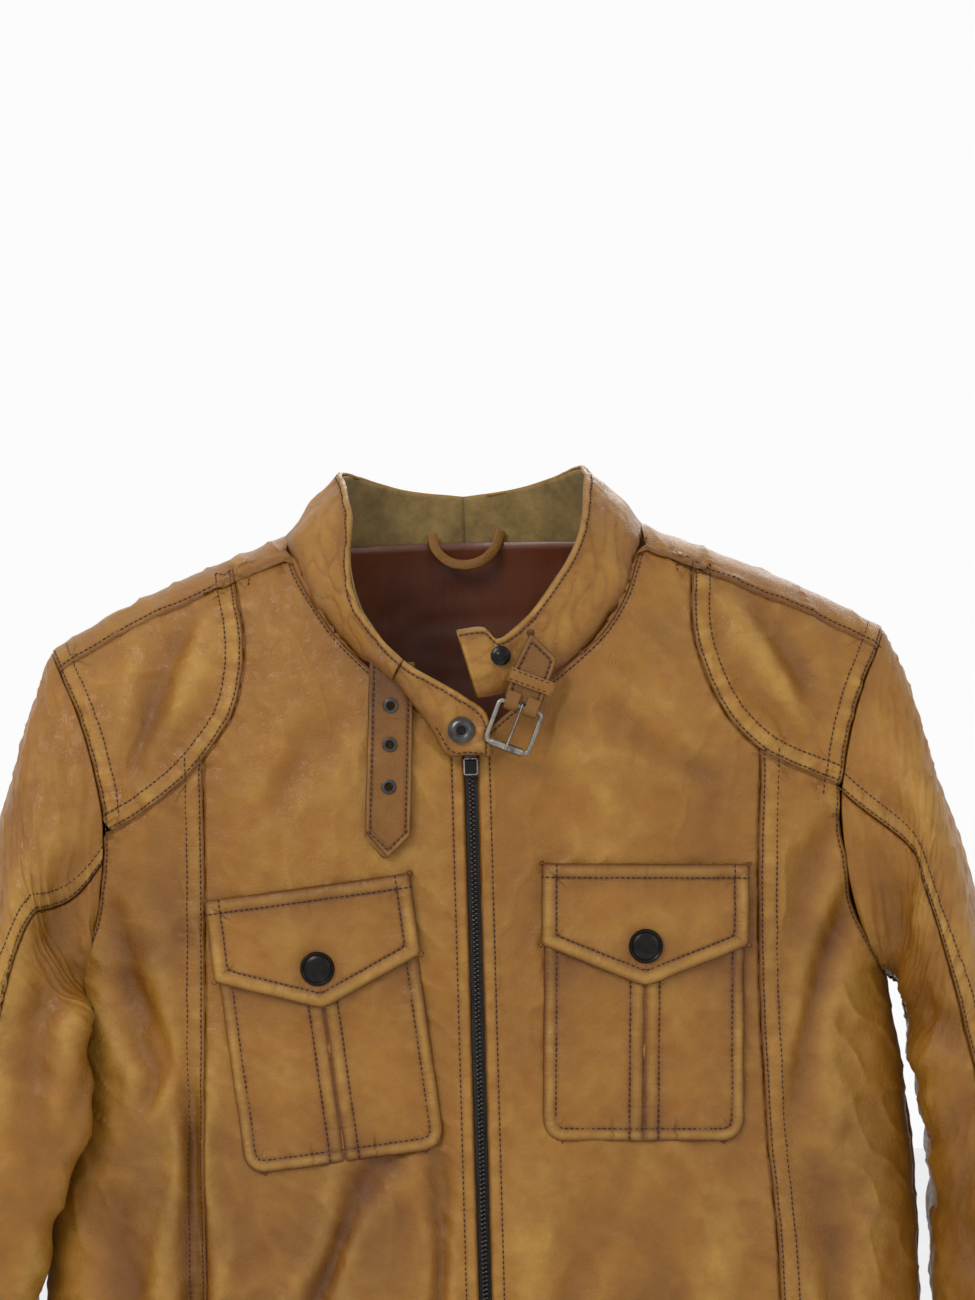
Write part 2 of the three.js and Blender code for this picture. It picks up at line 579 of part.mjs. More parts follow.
// ---- Front zip -----------------------------------------------------------------------------
const TEETH_FRONT = -HALF_DEPTH - 0.4;
const TAPE_FRONT = -HALF_DEPTH + LEATHER + PLY_GAP;
const ZIP_HEAD = 9; // tape above the last tooth
const bar = (x0, x1, y0, y1, z0, z1) => {
  const geometry = new THREE.BoxGeometry(x1 - x0, y1 - y0, z1 - z0);
  geometry.translate((x0 + x1) / 2, (y0 + y1) / 2, (z0 + z1) / 2);
  return geometry;
};
for (const [hand, s] of Object.entries(HANDS)) {
  const inTape = TEETH_HALF + 0.3;
  const span = (a, b) => (s > 0 ? [a, b] : [-b, -a]);
  const zLow = HEM_Z + 2;
  add(`zip_tape_${hand}`, bar(...span(inTape, 15), TAPE_FRONT, TAPE_FRONT + 0.6, zLow, ZIP_HEAD), TAPE);
  add(`zip_teeth_${hand}`, bar(...span(0.2, TEETH_HALF), TEETH_FRONT, TAPE_FRONT + 1, zLow + 9, 2), GUNMETAL);
}
const BOX_HALF = ZIP_GAUGE - 0.5;
const zipBox = bar(-BOX_HALF, BOX_HALF, TEETH_FRONT - 0.6, TAPE_FRONT - 0.3, HEM_Z + 2, HEM_Z + 10);
add('zip_box', zipBox, GUNMETAL);

// The slider straddles both rows of teeth in front of the tape.
const SLIDER_Z = 3;
const SLIDER_H = 9.5;
const SLIDER_HALF = 3.9;
const railIn = TEETH_HALF + 0.3;
const SLIDER_FRONT = TEETH_FRONT - 2;
const sliderSection = new THREE.Shape([
  [-SLIDER_HALF + 0.7, TAPE_FRONT - 0.4], [-railIn, TAPE_FRONT - 0.4], [-railIn, TEETH_FRONT - 0.4],
  [railIn, TEETH_FRONT - 0.4], [railIn, TAPE_FRONT - 0.4], [SLIDER_HALF - 0.7, TAPE_FRONT - 0.4],
  [SLIDER_HALF - 0.7, SLIDER_FRONT], [-SLIDER_HALF + 0.7, SLIDER_FRONT],
].map(([x, y]) => new THREE.Vector2(x, y)));
const sliderGeometry = new THREE.ExtrudeGeometry(sliderSection, { depth: SLIDER_H, bevelEnabled: false });
sliderGeometry.translate(0, 0, SLIDER_Z - SLIDER_H / 2);
add('zip_slider', sliderGeometry, GUNMETAL);

const PULL_AXIS_Z = -1.6;
const PULL_HALF = 3.75;
const PULL_EYE = 1.2; // half width of the eye above the pull's axis
const PULL_NECK = 0.6;
const PULL_LENGTH = 7.8;
const zipPull = add('zip_pull', plate([
  [-PULL_EYE, PULL_NECK], [-PULL_EYE, -PULL_NECK], [-PULL_HALF, -PULL_NECK], [-PULL_HALF, -PULL_LENGTH],
  [PULL_HALF, -PULL_LENGTH], [PULL_HALF, -PULL_NECK], [PULL_EYE, -PULL_NECK], [PULL_EYE, PULL_NECK],
], -PULL_NECK, PULL_NECK), GUNMETAL);
zipPull.position.set(0, SLIDER_FRONT - 1, PULL_AXIS_Z);

// ---- Chest pockets -------------------------------------------------------------------------
const POCKETS = {
  R: { x: -83.5, z: -63, turn: THREE.MathUtils.degToRad(6.4) },
  L: { x: 86, z: -56, turn: THREE.MathUtils.degToRad(-2) },
};
const POCKET_LIFT = PLY_GAP + LEATHER;
const FLAP_LIFT = POCKET_LIFT + 2 + LEATHER;
for (const [hand, { x, z, turn }] of Object.entries(POCKETS)) {
  const place = (across, down) => [
    x + across * Math.cos(turn) + down * Math.sin(turn),
    z + across * Math.sin(turn) - down * Math.cos(turn),
    -1,
  ];
  const bodyPlace = (u, v) => {
    const down = mix(3, POCKET_H, v);
    const left = Math.max(0, down - (POCKET_H - POCKET_CORNER)) / POCKET_CORNER;
    const half = POCKET_W / 2 - 2 - POCKET_CORNER * (1 - Math.sqrt(Math.max(0, 1 - left ** 2)));
    return place(mix(-half, half, u), down);
  };
  const rounded = (u, v) => bodyPlace(u, v < 1 ? 1 - (1 - v) ** 1.6 : 1);
  add(`pocket_body_${hand}`, panel(rounded, 8, 10, POCKET_LIFT), TAN);
  const flapPlace = (u, v) => {
    const bottom = mix(FLAP_TIP, FLAP_SIDE, Math.abs(2 * u - 1));
    return place(mix(-POCKET_W / 2, POCKET_W / 2, u), bottom * v);
  };
  add(`pocket_flap_${hand}`, panel(flapPlace, 8, 4, FLAP_LIFT), TAN);
  const seat = (name, geometry, look, lift) => {
    const [px, pz] = place(0, SNAP_DROP);
    const at = bodyPoint(px, pz, -1, lift);
    const out = bodyPoint(px, pz, -1, lift + 1).sub(at);
    const mesh = add(name, geometry, look);
    mesh.position.copy(at);
    mesh.quaternion.setFromUnitVectors(new THREE.Vector3(0, -1, 0), out.normalize());
  };
  seat(`flap_snap_cap_${hand}`, dome(SNAP_DIA, 2.6), GUNMETAL, FLAP_LIFT + 0.5);
  seat(`pocket_snap_stud_${hand}`, dome(SNAP_DIA * 0.55, 1), GUNMETAL, POCKET_LIFT + 0.4);
}

// ---- Collar strap, wearer's right ----------------------------------------------------------
const STRAP_BACK = -HALF_DEPTH - 2.4;
const STRAP_FRONT = STRAP_BACK - STRAP_T;
const STRAP_TOP = 36;
const STRAP_BEND = 20; // where the free tail starts
const STRAP_TIP = -49;
const strapX = (z) => -40.4 + z * 0.05;
const EYELETS = [[strapX(26.5), 26.5], [strapX(7), 7], [strapX(-14), -14]];
const holeR = EYELET_HOLE / 2 + 0.5;
const half = STRAP_W / 2;
add('strap_base_R', plate([
  [strapX(STRAP_TOP) - half, STRAP_TOP], [strapX(STRAP_TOP) + half, STRAP_TOP],
  [strapX(STRAP_BEND) + half, STRAP_BEND + 0.6], [strapX(STRAP_BEND) - half, STRAP_BEND + 0.6],
], STRAP_FRONT, STRAP_BACK, [[...EYELETS[0], holeR]]), TAN);
add('strap_tail', plate([
  [strapX(STRAP_BEND) - half, STRAP_BEND - 0.6], [strapX(STRAP_BEND) + half, STRAP_BEND - 0.6],
  [strapX(-39) + half, -39], [strapX(STRAP_TIP), STRAP_TIP], [strapX(-39) - half, -39],
], STRAP_FRONT, STRAP_BACK, [[...EYELETS[1], holeR], [...EYELETS[2], holeR]]), TAN);
EYELETS.forEach(([x, z], i) => {
  const r = EYELET_DIA / 2;
  const hole = EYELET_HOLE / 2;
  const flange = 0.5;
  const eyelet = turned([[hole, 0], [holeR - 0.3, 0], [holeR - 0.3, STRAP_T + 0.3], [r, STRAP_T + 0.3],
    [r * 0.85, STRAP_T + 0.3 + flange], [hole, STRAP_T + 0.3 + flange], [hole, 0]]);
  add(`strap_eyelet_${i + 1}`, eyelet, GUNMETAL).position.set(x, STRAP_BACK, z);
});

// ---- Buckle and its strap, wearer's left ---------------------------------------------------
const BUCKLE_TURN = THREE.MathUtils.degToRad(-22);
const BUCKLE_AT = [26, -HALF_DEPTH - 11, 24.3]; // middle of the top bar
const BASE_T = 2.4;
const barR = BUCKLE_BAR / 2;
const buckle = new THREE.Group();
buckle.position.set(...BUCKLE_AT);
buckle.rotation.y = -BUCKLE_TURN;
jacket.add(buckle);

const frameHole = new THREE.Path([
  [-BUCKLE_W / 2 + BUCKLE_BAR, -barR], [-BUCKLE_W / 2 + BUCKLE_BAR, -BUCKLE_H + barR],
  [BUCKLE_W / 2 - BUCKLE_BAR, -BUCKLE_H + barR], [BUCKLE_W / 2 - BUCKLE_BAR, -barR],
].map(([x, z]) => new THREE.Vector2(x, z)));
const frameShape = new THREE.Shape([
  [-BUCKLE_W / 2, barR], [-BUCKLE_W / 2, -BUCKLE_H - barR],
  [BUCKLE_W / 2, -BUCKLE_H - barR], [BUCKLE_W / 2, barR],
].map(([x, z]) => new THREE.Vector2(x, z)));
frameShape.holes.push(frameHole);
const frameGeometry = new THREE.ExtrudeGeometry(frameShape, { depth: BUCKLE_BAR, bevelEnabled: false });
frameGeometry.rotateX(Math.PI / 2);
frameGeometry.translate(0, barR, 0);
add('buckle_frame', frameGeometry, SILVER, buckle);

// The roller is a tube round the lower bar; its bore clears the bar's corners.
const boreR = barR * Math.SQRT2 + 0.15;
const rollR = Math.max(ROLLER_DIA / 2, boreR + 0.4);
const rollHalf = BUCKLE_W / 2 - BUCKLE_BAR - 0.4;
const rollerGeometry = new THREE.LatheGeometry([
  [boreR, -rollHalf], [rollR, -rollHalf], [rollR, rollHalf], [boreR, rollHalf], [boreR, -rollHalf],
].map(([r, h]) => new THREE.Vector2(r, h)), 16);
rollerGeometry.rotateZ(Math.PI / 2);
const roller = add('buckle_roller', rollerGeometry, SILVER, buckle);
roller.position.z = -BUCKLE_H;

// Sideways profiles of the pieces that wrap the top bar, in (y, z), extruded along x.
function sideways(outline, x0, x1) {
  const shape = new THREE.Shape(outline.map(([y, z]) => new THREE.Vector2(y, z)));
  const geometry = new THREE.ExtrudeGeometry(shape, { depth: x1 - x0, bevelEnabled: false });
  geometry.applyMatrix4(new THREE.Matrix4().set(0, 0, 1, x0, 1, 0, 0, 0, 0, 1, 0, 0, 0, 0, 0, 1));
  return geometry;
}
const wrapIn = barR * Math.SQRT2 + 0.25;
const cleft = 3.4; // gap in the strap's fold for the prong
const PRONG_T = 1.5;
const prongHalf = 1.1;
const prongEye = wrapIn + PRONG_T;
const tipY = -rollR - 0.3;
const prongOutline = [
  [-prongEye, 0], [-prongEye, prongEye * 0.6], [-prongEye * 0.6, prongEye], [prongEye * 0.6, prongEye],
  [prongEye, prongEye * 0.5], [prongEye, -prongEye], [wrapIn, -prongEye], [wrapIn, wrapIn], [-wrapIn, wrapIn],
  [-wrapIn, -wrapIn * 0.9], [tipY, -BUCKLE_H - 1.6], [tipY - PRONG_T * 0.7, -BUCKLE_H - 1.6],
  [-prongEye, -wrapIn * 1.2],
];
add('buckle_prong', sideways(prongOutline, -prongHalf, prongHalf), SILVER, buckle);

const baseWrap = wrapIn + 0.1;
const wrapOut = baseWrap + 1.1;
const foldOutline = [
  [-wrapOut, wrapOut + 3], [-wrapOut, -wrapOut], [wrapOut, -wrapOut], [wrapOut, wrapOut + 3],
];
const corners = (hx, hy) => [[-hx, -hy], [hx, -hy], [hx, hy], [-hx, hy]];
const boreOutline = corners(baseWrap, baseWrap);
const foldHalf = BUCKLE_W / 2 - BUCKLE_BAR - 0.5;
const BASE_TONGUE = [
  [-foldHalf, wrapOut + 1], [foldHalf, wrapOut + 1], [foldHalf + 2, 24], [2, 38], [-foldHalf, 20],
];
const baseFold = solid(sideways(foldOutline, -foldHalf, foldHalf))
  .subtract(solid(sideways(boreOutline, -foldHalf - 1, foldHalf + 1)))
  .subtract(solid(bar(-cleft / 2, cleft / 2, -9, 9, -9, prongEye * 1.25 + 0.5)))
  .add(solid(plate(BASE_TONGUE, -BASE_T / 2, BASE_T / 2)));
add('strap_base_L', geometryOf(baseFold), TAN, buckle);

// Keeper loop round the strap, with a clear slot for the tail.
const KEEPER_Z = 10;
const KEEPER_W = 7;
const keeperIn = [foldHalf + 2, BASE_T / 2 + 0.4];
const keeperOut = [keeperIn[0] + 1.2, keeperIn[1] + 1];
const box2 = ([hx, hy]) => corners(hx, hy).map(([x, y]) => new THREE.Vector2(x, y));
const keeperShape = new THREE.Shape(box2(keeperOut));
keeperShape.holes.push(new THREE.Path(box2(keeperIn)));
const keeperGeometry = new THREE.ExtrudeGeometry(keeperShape, { depth: KEEPER_W, bevelEnabled: false });
const keeper = add('strap_keeper', keeperGeometry, TAN_DARK, buckle);
keeper.position.set(1, 0, KEEPER_Z);

// ---- Hanging loop inside the back of the neck ----------------------------------------------
const LOOP_HALF = 17;
const LOOP_DROP = 13;
const LOOP_STRAP = 5;
const LOOP_T = 1.6;
const LOOP_AT = [0, deep(0.613), 112];
const loopPath = [];
for (let i = 0; i <= 12; i += 1) {
  const a = Math.PI * (1 + i / 12);
  loopPath.push([LOOP_HALF * Math.cos(a), LOOP_DROP * Math.sin(a)]);
}
const shrink = [1 - LOOP_STRAP / LOOP_HALF, 1 - LOOP_STRAP / LOOP_DROP];
const loopInner = [...loopPath].reverse().map(([x, z]) => [x * shrink[0], z * shrink[1]]);
const hangLoop = add('hang_loop', plate([...loopPath, ...loopInner], -LOOP_T / 2, LOOP_T / 2), TAN);
hangLoop.position.set(...LOOP_AT);

export default jacket;
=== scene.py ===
# %% [markdown]
# # A leather riding jacket, panel by panel
# The jacket hangs from its neck. Its frame (sizes, joints, moving bodies) is loaded first and never moved.
# Every visible panel is then made as leather is cut: a patch between its seams, laid on the body's curved
# form, with the stitching, puckers, folds, seam burnish, painted shade and painted highlights worked into it.

# %% Load the frame
import json
import math

import bmesh
import bpy
import numpy as np
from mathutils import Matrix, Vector

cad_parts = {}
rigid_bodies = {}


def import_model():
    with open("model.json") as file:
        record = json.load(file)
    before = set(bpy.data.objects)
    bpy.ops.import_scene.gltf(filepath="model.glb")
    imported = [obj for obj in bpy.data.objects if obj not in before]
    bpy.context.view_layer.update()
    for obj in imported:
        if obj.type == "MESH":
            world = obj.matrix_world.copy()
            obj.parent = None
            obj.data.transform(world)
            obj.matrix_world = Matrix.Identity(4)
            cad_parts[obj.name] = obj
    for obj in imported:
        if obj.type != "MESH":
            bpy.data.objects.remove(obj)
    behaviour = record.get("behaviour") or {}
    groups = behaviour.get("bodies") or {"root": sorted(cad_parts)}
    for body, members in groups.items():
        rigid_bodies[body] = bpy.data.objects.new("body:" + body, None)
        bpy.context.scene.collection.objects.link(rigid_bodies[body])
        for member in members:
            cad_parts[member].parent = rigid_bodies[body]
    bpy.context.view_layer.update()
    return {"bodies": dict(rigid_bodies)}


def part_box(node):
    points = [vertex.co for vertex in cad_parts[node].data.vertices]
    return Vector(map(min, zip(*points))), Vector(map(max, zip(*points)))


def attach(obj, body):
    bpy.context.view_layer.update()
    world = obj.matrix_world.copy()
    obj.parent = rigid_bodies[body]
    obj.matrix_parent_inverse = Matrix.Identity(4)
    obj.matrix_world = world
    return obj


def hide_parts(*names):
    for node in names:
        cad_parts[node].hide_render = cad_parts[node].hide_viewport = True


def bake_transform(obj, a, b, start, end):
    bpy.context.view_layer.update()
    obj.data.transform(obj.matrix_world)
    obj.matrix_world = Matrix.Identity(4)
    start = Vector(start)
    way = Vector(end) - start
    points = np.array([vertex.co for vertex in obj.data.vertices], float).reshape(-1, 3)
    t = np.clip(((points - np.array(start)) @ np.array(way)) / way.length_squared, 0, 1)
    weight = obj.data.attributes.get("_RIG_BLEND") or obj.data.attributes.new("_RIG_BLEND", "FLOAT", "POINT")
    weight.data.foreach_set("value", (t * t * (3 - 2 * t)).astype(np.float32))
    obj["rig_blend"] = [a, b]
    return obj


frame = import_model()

MM = 0.001
SEAT = 2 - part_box("zip_teeth_R")[1][2] / MM  # the top zip tooth stands 2 mm above the zip top


def world(points):
    """Jacket points, in millimetres from the top of the zip, to metres in the frame."""
    return (np.asarray(points, float) - (0, 0, SEAT)) * MM


# %% [markdown]
# ## Camera and light
# A long lens, level with the upper chest and rolled a little, shows the front without stretching its
# sides. Three broad lamps and a pale surround give the soft, shadowless light of a clothes shoot.

# %% Camera, lamps and floor
VIEW_CENTRE = (10, 53)
VIEW_HEIGHT = 650
CAMERA_AWAY = 2400
CAMERA_ROLL = 0.0278
FRONT_Y = -62

camera_data = bpy.data.cameras.new("camera")
camera_data.sensor_width = 36
camera_data.lens = camera_data.sensor_width * CAMERA_AWAY / VIEW_HEIGHT
camera = bpy.data.objects.new("camera", camera_data)
bpy.context.scene.collection.objects.link(camera)
camera.location = world((VIEW_CENTRE[0], FRONT_Y - CAMERA_AWAY, VIEW_CENTRE[1]))
camera.rotation_euler = (math.pi / 2, math.atan(CAMERA_ROLL), 0)
bpy.context.scene.camera = camera


def lamp(name, place, aim, size, power, colour=(1, 1, 1)):
    data = bpy.data.lights.new(name, "AREA")
    data.size = size
    data.energy = power
    data.color = colour
    item = bpy.data.objects.new(name, data)
    item.location = place
    item.rotation_euler = (Vector(aim) - Vector(place)).to_track_quat("-Z", "Y").to_euler()
    bpy.context.scene.collection.objects.link(item)


lamp("key", (-1.3, -1.9, 1.5), (0, 0, -0.15), 1.1, 44, (1, 0.96, 0.9))
lamp("fill", (1.9, -1.7, 0.5), (0, 0, -0.25), 1.4, 9)
lamp("back", (0.6, 2.2, 1.5), (0, 0, -0.2), 1.8, 26)
surround = bpy.data.worlds.new("surround")
surround.use_nodes = True
surround.node_tree.nodes["Background"].inputs["Color"].default_value = (1, 1, 1, 1)
surround.node_tree.nodes["Background"].inputs["Strength"].default_value = 0.97
bpy.context.scene.world = surround
bpy.context.scene.view_settings.view_transform = "Standard"

FLOOR_DROP = -0.95
floor_mesh = bpy.data.meshes.new("floor")
floor_mesh.from_pydata([(-6, -6, FLOOR_DROP), (6, -6, FLOOR_DROP), (6, 6, FLOOR_DROP), (-6, 6, FLOOR_DROP)],
                       [], [(0, 1, 2, 3)])
floor = bpy.data.objects.new("floor", floor_mesh)
bpy.context.scene.collection.objects.link(floor)

# %% [markdown]
# ## Finishes
# Every finish is a node material on Object coordinates, so the pattern stays on the piece as it moves.
# Each leather point carries numbers worked out with its shape: `burn`, the dye that gathers at a seam
# together with painted shade in folds, hollows and shaded areas; `raise`, where the dye rubs off edges
# together with a painted highlight on raised folds; and `run` and `border`, its place along a seam and beside
# it, where the thread pulls in short puckers.


# %% Node helpers
def finish(name, roughness=0.5, metallic=0.0, colour=(0.5, 0.5, 0.5)):
    material = bpy.data.materials.new(name)
    material.use_nodes = True
    tree = material.node_tree
    shader = tree.nodes["Principled BSDF"]
    shader.inputs["Base Color"].default_value = (*colour, 1)
    shader.inputs["Roughness"].default_value = roughness
    shader.inputs["Metallic"].default_value = metallic
    return material, tree, shader


def node(tree, kind, **settings):
    made = tree.nodes.new(kind)
    for key, value in settings.items():
        if key in made.inputs:
            made.inputs[key].default_value = value
        else:
            setattr(made, key, value)
    return made


def object_noise(tree, scale, detail=4.0, roughness=0.55, stretch=(1, 1, 1)):
    where = node(tree, "ShaderNodeTexCoord")
    turn = node(tree, "ShaderNodeMapping")
    turn.inputs["Scale"].default_value = stretch
    noise = node(tree, "ShaderNodeTexNoise")
    noise.inputs["Scale"].default_value = scale
    noise.inputs["Detail"].default_value = detail
    noise.inputs["Roughness"].default_value = roughness
    tree.links.new(where.outputs["Object"], turn.inputs["Vector"])
    tree.links.new(turn.outputs["Vector"], noise.inputs["Vector"])
    return noise.outputs["Fac"]


def ramp(tree, source, stops):
    made = node(tree, "ShaderNodeValToRGB")
    band = made.color_ramp
    while len(band.elements) < len(stops):
        band.elements.new(0.5)
    for element, (place, value) in zip(band.elements, stops):
        element.position = place
        element.color = (*value, 1) if isinstance(value, tuple) else (value, value, value, 1)
    tree.links.new(source, made.inputs["Fac"])
    return made.outputs["Color"]


def blend_colours(tree, share, first, second, how="MIX"):
    made = node(tree, "ShaderNodeMix", data_type="RGBA", blend_type=how)
    made.clamp_factor = True
    for socket, value in (("Factor", share), ("A", first), ("B", second)):
        target = [s for s in made.inputs if s.name == socket and s.enabled][0]
        if hasattr(value, "links"):
            tree.links.new(value, target)
        else:
            target.default_value = (*value, 1) if isinstance(value, tuple) else value
    return [s for s in made.outputs if s.enabled][0]


def arithmetic(tree, operation, *values):
    made = node(tree, "ShaderNodeMath", operation=operation)
    for socket, value in zip(made.inputs, values):
        if hasattr(value, "links"):
            tree.links.new(value, socket)
        else:
            socket.default_value = value
    return made.outputs[0]


def bump(tree, height, strength, distance, below=None):
    made = node(tree, "ShaderNodeBump")
    made.inputs["Strength"].default_value = strength
    made.inputs["Distance"].default_value = distance
    tree.links.new(height, made.inputs["Height"])
    if below is not None:
        tree.links.new(below, made.inputs["Normal"])
    return made.outputs["Normal"]


# %% [markdown]
# ## Mixing the finishes
# Leather is mixed from three colours: the body colour, a dark one for dye in seams and for painted shade in
# hollows, folds and shaded areas, and a light one for rubbed edges and a painted highlight on raised folds.
# Two layers of bump, creases and pores, lie under a satin gloss.

# %% Leather, suede, satin, thread, tape and metals
RIB_RATE = 0.3  # puckers along a seam, for each millimetre


def leather(name, tan, dark, light, gloss=0.43):
    """Dyed leather: blotches, burnished seams with painted shade in hollows and folds, rubbed edges with a
    painted highlight on raised folds, pores and fine creases.
    """
    material, tree, shader = finish(name, gloss)
    burn = node(tree, "ShaderNodeAttribute", attribute_name="burn").outputs["Fac"]
    rub_and_highlight_mark = node(tree, "ShaderNodeAttribute", attribute_name="raise").outputs["Fac"]
    cloud = ramp(tree, object_noise(tree, 9, 5, 0.6), [(0.36, 0.0), (0.66, 1.0)])
    mottle = ramp(tree, object_noise(tree, 70, 6, 0.65), [(0.38, 0.0), (0.64, 1.0)])
    warm = blend_colours(tree, arithmetic(tree, "MULTIPLY", cloud, 0.55), tan, tuple(
        t * 0.55 + d * 0.45 for t, d in zip(tan, dark)))
    patchy = blend_colours(tree, arithmetic(tree, "MULTIPLY", mottle, 0.16), warm, light)
    # painted highlight: raised folds and edges are mixed towards the light colour, together with real rub at
    # the edges
    rub_and_highlight_amount = arithmetic(tree, "MULTIPLY", rub_and_highlight_mark,
                     arithmetic(tree, "ADD", 0.45, arithmetic(tree, "MULTIPLY", mottle, 0.55)))
    rubbed_and_lit = blend_colours(tree, rub_and_highlight_amount, patchy, light)
    # painted shade: hollows, folds and shaded areas are mixed towards the dark colour, together with real dye
    # at the seams
    soak = arithmetic(tree, "MULTIPLY", burn,
                      arithmetic(tree, "ADD", 0.6, arithmetic(tree, "MULTIPLY", cloud, 0.4)))
    tree.links.new(blend_colours(tree, soak, rubbed_and_lit, dark), shader.inputs["Base Color"])
    worn = arithmetic(tree, "ADD", gloss - 0.07, arithmetic(tree, "MULTIPLY", mottle, 0.16))
    tree.links.new(worn, shader.inputs["Roughness"])
    where = node(tree, "ShaderNodeTexCoord")
    pores = node(tree, "ShaderNodeTexVoronoi", feature="DISTANCE_TO_EDGE")
    pores.inputs["Scale"].default_value = 850
    tree.links.new(where.outputs["Object"], pores.inputs["Vector"])
    grain = ramp(tree, pores.outputs["Distance"], [(0.0, 0.0), (0.25, 1.0)])
    crease = ramp(tree, object_noise(tree, 95, 8, 0.7), [(0.44, 0.0), (0.5, 1.0), (0.56, 0.0)])
    soft = bump(tree, object_noise(tree, 34, 5, 0.6), 0.55, 0.003)
    lined = bump(tree, crease, 0.3, 0.0006, soft)
    run = node(tree, "ShaderNodeAttribute", attribute_name="run").outputs["Fac"]
    border = node(tree, "ShaderNodeAttribute", attribute_name="border").outputs["Fac"]
    ribs = node(tree, "ShaderNodeTexNoise", noise_dimensions="1D")
    ribs.inputs["Scale"].default_value = RIB_RATE
    ribs.inputs["Detail"].default_value = 2
    tree.links.new(run, ribs.inputs["W"])
    ribbed = bump(tree, arithmetic(tree, "MULTIPLY", ribs.outputs["Fac"], border), 0.7, 0.0008, lined)
    tree.links.new(bump(tree, grain, 0.32, 0.00025, ribbed), shader.inputs["Normal"])
    shader.inputs["Specular IOR Level"].default_value = 0.3
    return material


def cloth(name, colour, shade, scale, rough, sheen=0.0, stretch=(1, 1, 1), depth=0.0004):
    material, tree, shader = finish(name, rough)
    spots = ramp(tree, object_noise(tree, scale, 6, 0.7, stretch), [(0.35, 0.0), (0.68, 1.0)])
    tree.links.new(blend_colours(tree, spots, shade, colour), shader.inputs["Base Color"])
    fine = object_noise(tree, scale * 9, 3, 0.7, stretch)
    tree.links.new(bump(tree, fine, 0.5, depth, bump(tree, spots, 0.3, 0.001)), shader.inputs["Normal"])
    shader.inputs["Sheen Weight"].default_value = sheen
    return material


def metal(name, colour, dull, rough, scale=160):
    """Plated metal with a darkened, uneven skin."""
    material, tree, shader = finish(name, rough, 1.0)
    age = ramp(tree, object_noise(tree, scale, 6, 0.65), [(0.35, 0.0), (0.7, 1.0)])
    tree.links.new(blend_colours(tree, age, colour, dull), shader.inputs["Base Color"])
    tree.links.new(arithmetic(tree, "ADD", rough - 0.08, arithmetic(tree, "MULTIPLY", age, 0.22)),
                   shader.inputs["Roughness"])
    tree.links.new(bump(tree, object_noise(tree, scale * 8, 3), 0.15, 0.0001), shader.inputs["Normal"])
    return material


TAN = leather("leather", (0.215, 0.085, 0.006), (0.072, 0.019, 0.001), (0.36, 0.205, 0.038), 0.36)
STRAP_TAN = leather("strap_leather", (0.16, 0.062, 0.005), (0.055, 0.015, 0.001), (0.31, 0.165, 0.03), 0.4)
SUEDE = cloth("suede", (0.24, 0.158, 0.05), (0.12, 0.074, 0.02), 60, 0.9, 0.1)
SATIN = cloth("satin", (0.14, 0.036, 0.010), (0.08, 0.018, 0.006), 12, 0.4, 0.0, (1, 1, 0.25))
TAPE = cloth("zip_tape", (0.016, 0.013, 0.011), (0.008, 0.007, 0.006), 400, 0.85)
THREAD = cloth("thread", (0.035, 0.009, 0.002), (0.018, 0.005, 0.001), 900, 0.9)
GUNMETAL = metal("gunmetal", (0.085, 0.08, 0.075), (0.03, 0.028, 0.026), 0.34)
BLACKED = metal("black_enamel", (0.022, 0.021, 0.02), (0.012, 0.011, 0.01), 0.3)
SILVER = metal("antique_silver", (0.30, 0.27, 0.23), (0.07, 0.06, 0.05), 0.34)
FLOOR = cloth("floor", (0.86, 0.86, 0.86), (0.82, 0.82, 0.82), 3, 0.9)
floor_mesh.materials.append(FLOOR)
print("finishes:", len(bpy.data.materials))

# %% [markdown]
# ## The body's form
# A hanging jacket is a flattened tube with round shoulders. One rule gives its depth at any width and
# height, and every panel is laid on that rule, so neighbours always meet at their seams.

# %% Form of the body
DEPTH = 62
SECTION, RIDGE = 2.6, 2.4
NECK_HALF, NECK_TOP = 90, 115
SHOULDER_HALF, SHOULDER_TOP = 213, 58
ARMPIT = (208, -116)
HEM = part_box("hem_band_back")[0][2] / MM + SEAT
BAND = HEM + 42
LEATHER = 1.3
WIDTHS = np.array([(HEM, 226), (-250, 223), (-213, 222), (-159, 216), (-116, 208), (-77, 214), (-20, 223),
                   (150, 228)])


def half_width(z):
    return np.interp(z, WIDTHS[:, 0], WIDTHS[:, 1])


def ridge(x):
    t = (np.abs(x) - NECK_HALF) / (SHOULDER_HALF - NECK_HALF)
    over = np.clip(t, 0, None)
    drop = NECK_TOP - SHOULDER_TOP
    return NECK_TOP - np.where(t <= 0, t * drop, drop * (0.86 * over + 0.14 * over ** 4))


def turn_start(x):
    return -60 * np.minimum(1, np.abs(x) / 120)


def depth_at(x, z):
    across = np.minimum(1, np.abs(x) / half_width(z))
    up = np.clip((z - turn_start(x)) / (ridge(x) - turn_start(x)), 0, 1)
    level = (1 - across ** SECTION) ** (1 / SECTION)
    return DEPTH * level * (1 - up ** RIDGE) ** (1 / RIDGE)


def on_body(x, z, side, lift=0.0):
    """Points on the body's face, lifted along its normal; side is -1 in front and 1 behind."""
    x, z, side = (np.asarray(v, float) for v in np.broadcast_arrays(x, z, side))
    step = 0.5
    slope_x = depth_at(x + step, z) - depth_at(x - step, z)
    slope_z = depth_at(x, z + step) - depth_at(x, z - step)
    normal = np.stack([-slope_x, side, -slope_z], -1)
    normal /= np.linalg.norm(normal, axis=-1, keepdims=True)
    return np.stack([x, side * depth_at(x, z), z], -1) + normal * np.asarray(lift)[..., None]


def around(share, z):
    return half_width(z) * np.sin(np.clip(share, 0, 1) * math.pi / 2) ** (2 / SECTION)


